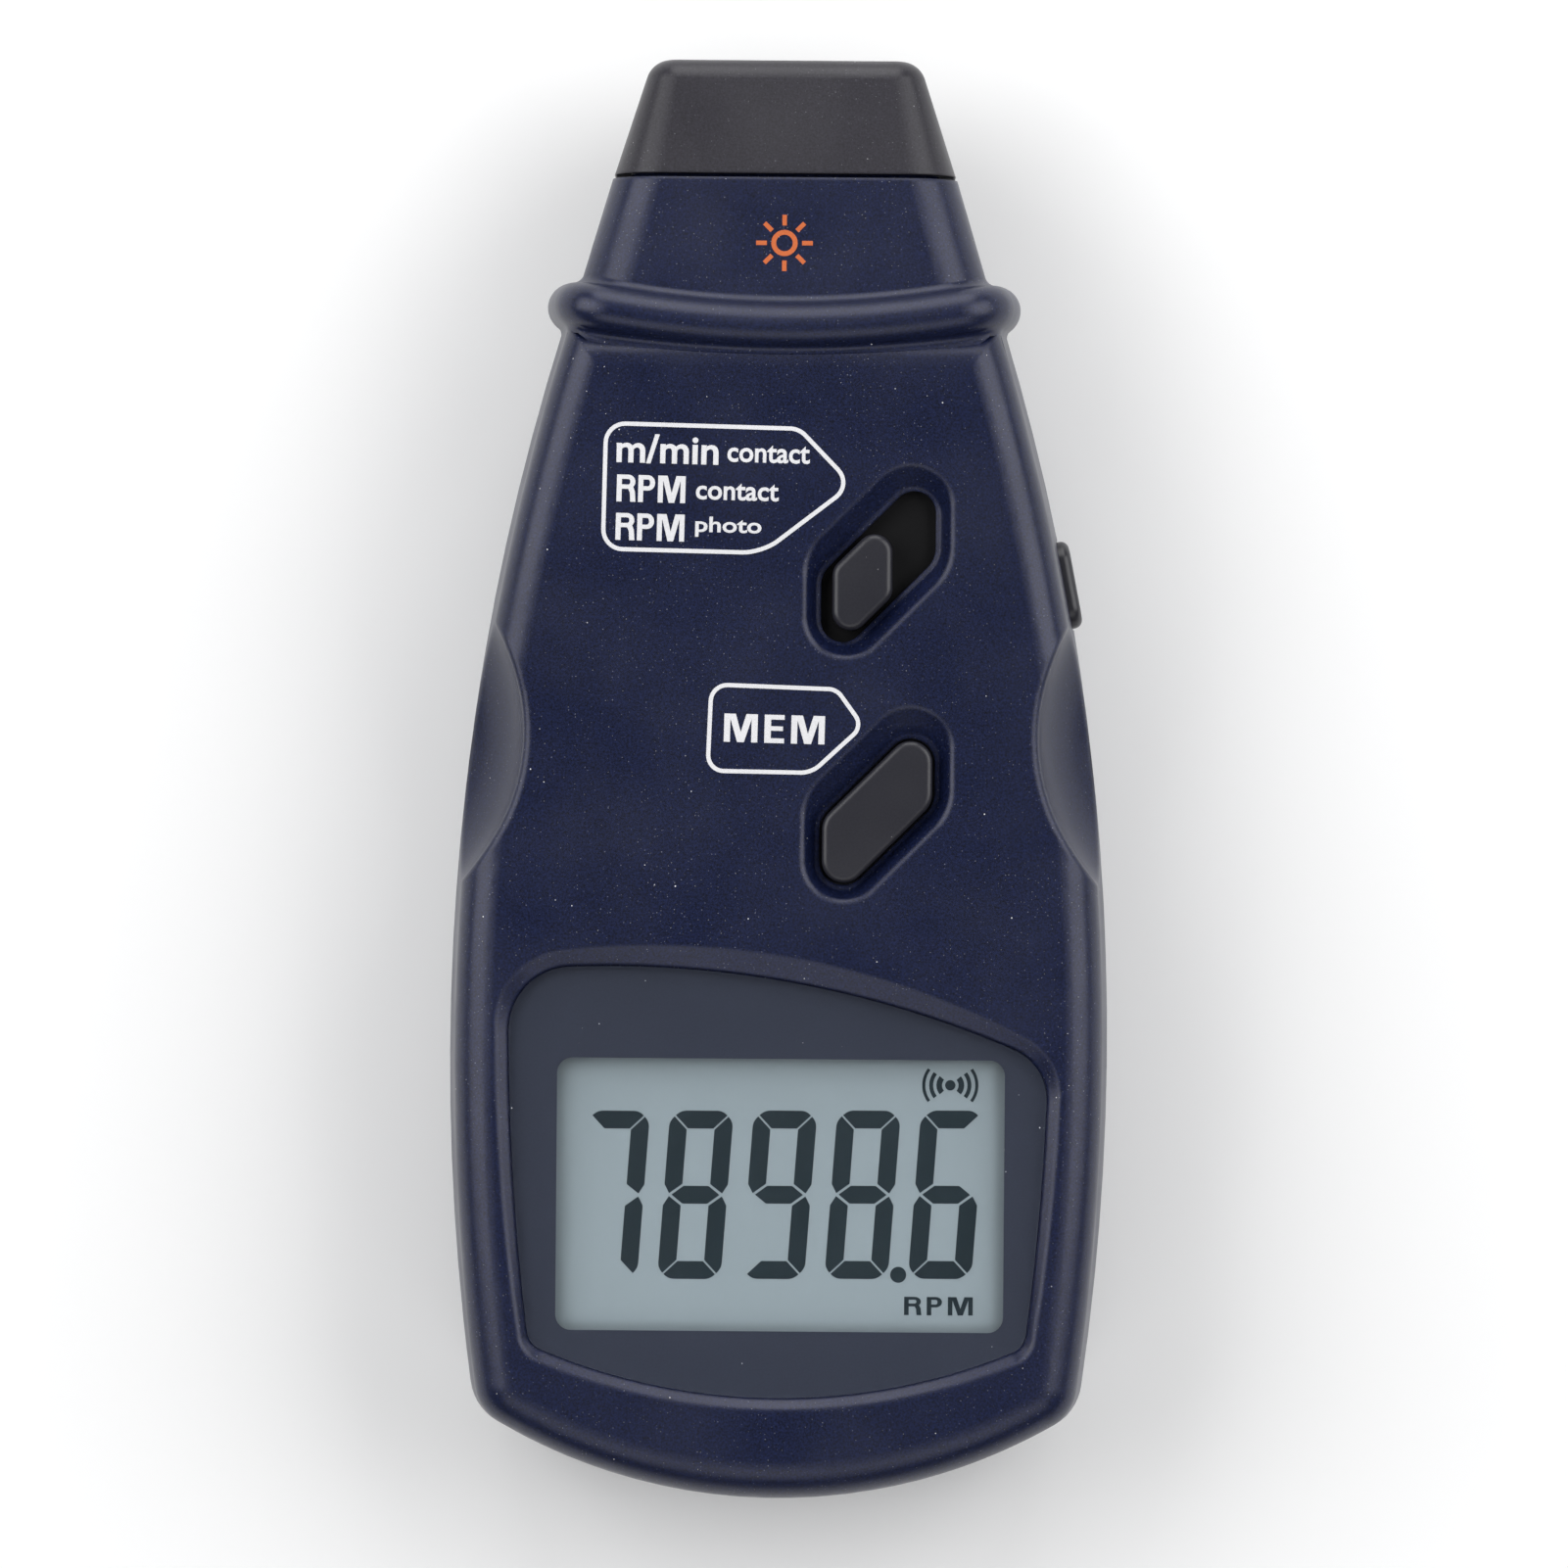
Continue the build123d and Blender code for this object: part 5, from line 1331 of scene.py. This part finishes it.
@dataclass
class Studio:
    """Pale floor, soft lamps and the camera."""

    floor: float = 8.0  # m
    floor_tone: float = 0.88
    gap: float = 0.05  # mm under the case, so that the two faces don't coincide
    air_colour: Colour = (0.9, 0.94, 1.0)
    air_strength: float = 0.05
    backdrop: float = 0.93
    sensor: float = 36.0  # mm
    aim: tuple[float, float, float] = (0.0, 0.0, 0.02)  # m, the point that the lamps face
    lamps: tuple[Lamp, ...] = (
        Lamp("lamp_left", (-0.84, 0.3, 0.82), (1.1, 1.15), 12.0),
        Lamp("lamp_right", (0.84, 0.3, 0.82), (1.1, 1.15), 12.0),
        Lamp("lamp_head", (0.0, 1.15, 0.5), (0.9, 1.0), 8.6),
        Lamp("lamp_foot", (0.0, -0.8, 0.97), (1.4, 0.7), 4.0),
    )

    def ground(self) -> None:
        """A plain pale floor."""
        shape = bmesh.new()
        bmesh.ops.create_grid(shape, x_segments=1, y_segments=1, size=self.floor / 2)
        bmesh.ops.translate(shape, vec=(0, 0, -self.gap * MM), verts=shape.verts[:])
        floor = new_piece("floor", shape)
        material = bpy.data.materials.new("floor_pale")
        material.use_nodes = True
        w = Wiring(material.node_tree)
        w.feed(w.find("BSDF_PRINCIPLED"), {"Base Color": [self.floor_tone] * 3, "Roughness": 0.9,
                                           "Specular IOR Level": 0.1})
        floor.data.materials.append(material)

    def air(self) -> None:
        """Weak even light, with a pale backdrop for the camera."""
        world = bpy.data.worlds.new("studio")
        world.use_nodes = True
        bpy.context.scene.world = world
        w = Wiring(world.node_tree)
        dim = w.find("BACKGROUND")
        w.feed(dim, {"Color": self.air_colour, "Strength": self.air_strength})
        pale = w.node("Background", {"Color": [self.backdrop] * 3, "Strength": 1.0})
        seen = w.node("LightPath").outputs["Is Camera Ray"]
        mix = w.node("MixShader", {0: seen, 1: dim.outputs[0], 2: pale.outputs[0]})
        w.feed(w.find("OUTPUT_WORLD"), {"Surface": mix.outputs[0]})

    def camera(self) -> None:
        """The camera straight above, as in the photograph."""
        lens = bpy.data.cameras.new("camera")
        lens.sensor_width = self.sensor
        lens.lens = self.sensor * CAMERA_HEIGHT / (2 * HALF_FRAME * PIXEL)
        lens.clip_start, lens.clip_end = 0.05, 50.0
        held = bpy.data.objects.new("camera", lens)
        held.location = (VIEW_CENTRE[0] * MM, VIEW_CENTRE[1] * MM, (CAMERA_HEIGHT + MIDDLE_LEVEL) * MM)
        held.rotation_euler = (0, 0, LEAN)
        bpy.context.scene.collection.objects.link(held)
        bpy.context.scene.camera = held

    def build(self) -> None:
        """Set the studio up."""
        self.ground()
        self.air()
        for lamp in self.lamps:
            lamp.hang(Vector(self.aim))
        self.camera()
        bpy.context.scene.view_settings.view_transform = "Standard"


def cell_finishes() -> dict[str, Finish]:
    """Sleeves of the four cells, which lie head to tail.

    Returns:
        Their finishes by the names of their nodes.
    """
    sleeves = {}
    for number in range(1, 5):
        low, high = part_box(f"aa_cell_{number}")
        ends = (low.y / MM, high.y / MM)
        tail, nub = ends if number % 2 else ends[::-1]
        sleeves[f"aa_cell_{number}"] = Sleeve(f"cell_sleeve_{number}", "cell", (0.3, 0.31, 0.32), 0.32, 0.5,
                                              nub_end=nub, tail_end=tail)
    return sleeves


def strip_finishes() -> dict[str, Finish]:
    """Rubber of the two contact strips, with its core a third of its width.

    Returns:
        Their finishes by the names of their nodes.
    """
    rubbers = {}
    for name in ("contact_strip_upper", "contact_strip_lower"):
        low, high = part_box(name)
        rubbers[name] = Banded(f"{name}_rubber", "strip", (0.5, 0.2, 0.22), 0.6, 0.3, grain=0.006,
                               middle=(low.y + high.y) / 2 / MM, half=(high.y - low.y) / 6 / MM)
    return rubbers


def node_finishes() -> dict[str, Finish]:
    """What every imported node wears.

    Returns:
        Finishes by the names of their nodes.
    """
    plain = {
        NAVY: ("front_shell", "rear_shell", "battery_cover"),
        HOOD: ("head_hood",),
        KEY: ("function_knob", "mem_key", "measure_key"),
        SHUTTER: ("switch_shutter",),
        CARRIER: ("optics_block", "lcd_frame"),
        SWITCH_CASE: ("slide_switch_case", "mem_tact_switch", "measure_tact_switch", "slide_switch_slider"),
        PLUNGER: ("mem_plunger", "measure_plunger"),
        WINDOW: ("display_window",),
        PANE: ("optical_window",),
        LENS: ("laser_lens", "receiver_lens"),
        FACE: ("lcd_panel",),
        TAPE: ("window_adhesive",),
        MASK: ("main_board",),
        EPOXY: ("microcontroller", "voltage_regulator", "photodiode"),
        CHIPS: ("chip_resistors",),
        CAN: ("crystal",),
        CAPACITOR: ("storage_capacitor",),
        BRASS: ("laser_module",),
        NICKEL: (*(f"battery_spring_{number}" for number in range(1, 5)), "contact_upper_left",
                 "contact_upper_right", "contact_lower_left", "contact_lower_middle", "contact_lower_right"),
        ZINC: ("case_screws", "board_screws", "display_screws"),
        BLACK_LEAD: ("battery_lead_black",),
        RED_LEAD: ("battery_lead_red", "laser_leads"),
        WHITE_LEAD: ("receiver_leads",),
    }
    single = {name: finish for finish, names in plain.items() for name in names}
    return cell_finishes() | strip_finishes() | single


def main() -> None:
    """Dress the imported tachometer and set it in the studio."""
    logging.basicConfig(level=logging.INFO, format="%(name)s: %(message)s")
    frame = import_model()
    nodes = frame["nodes"]
    paint = Paintbox(EffectShelf())
    finishes = node_finishes()
    for name, node in nodes.items():
        paint.dress(node, finishes[name])
        LOG.info("%s wears %s", name, finishes[name].name)
    case = surface_tree(nodes["front_shell"])
    shells = surface_tree(nodes["front_shell"], nodes["rear_shell"])
    for part in (Legends(paint, case), BeamMark(paint, case), GuardBlend(paint, shells),
                 WindowBorder(paint, nodes["display_window"]), Reading(paint)):
        part.build()
    Studio().build()


if __name__ == "__main__":
    main()
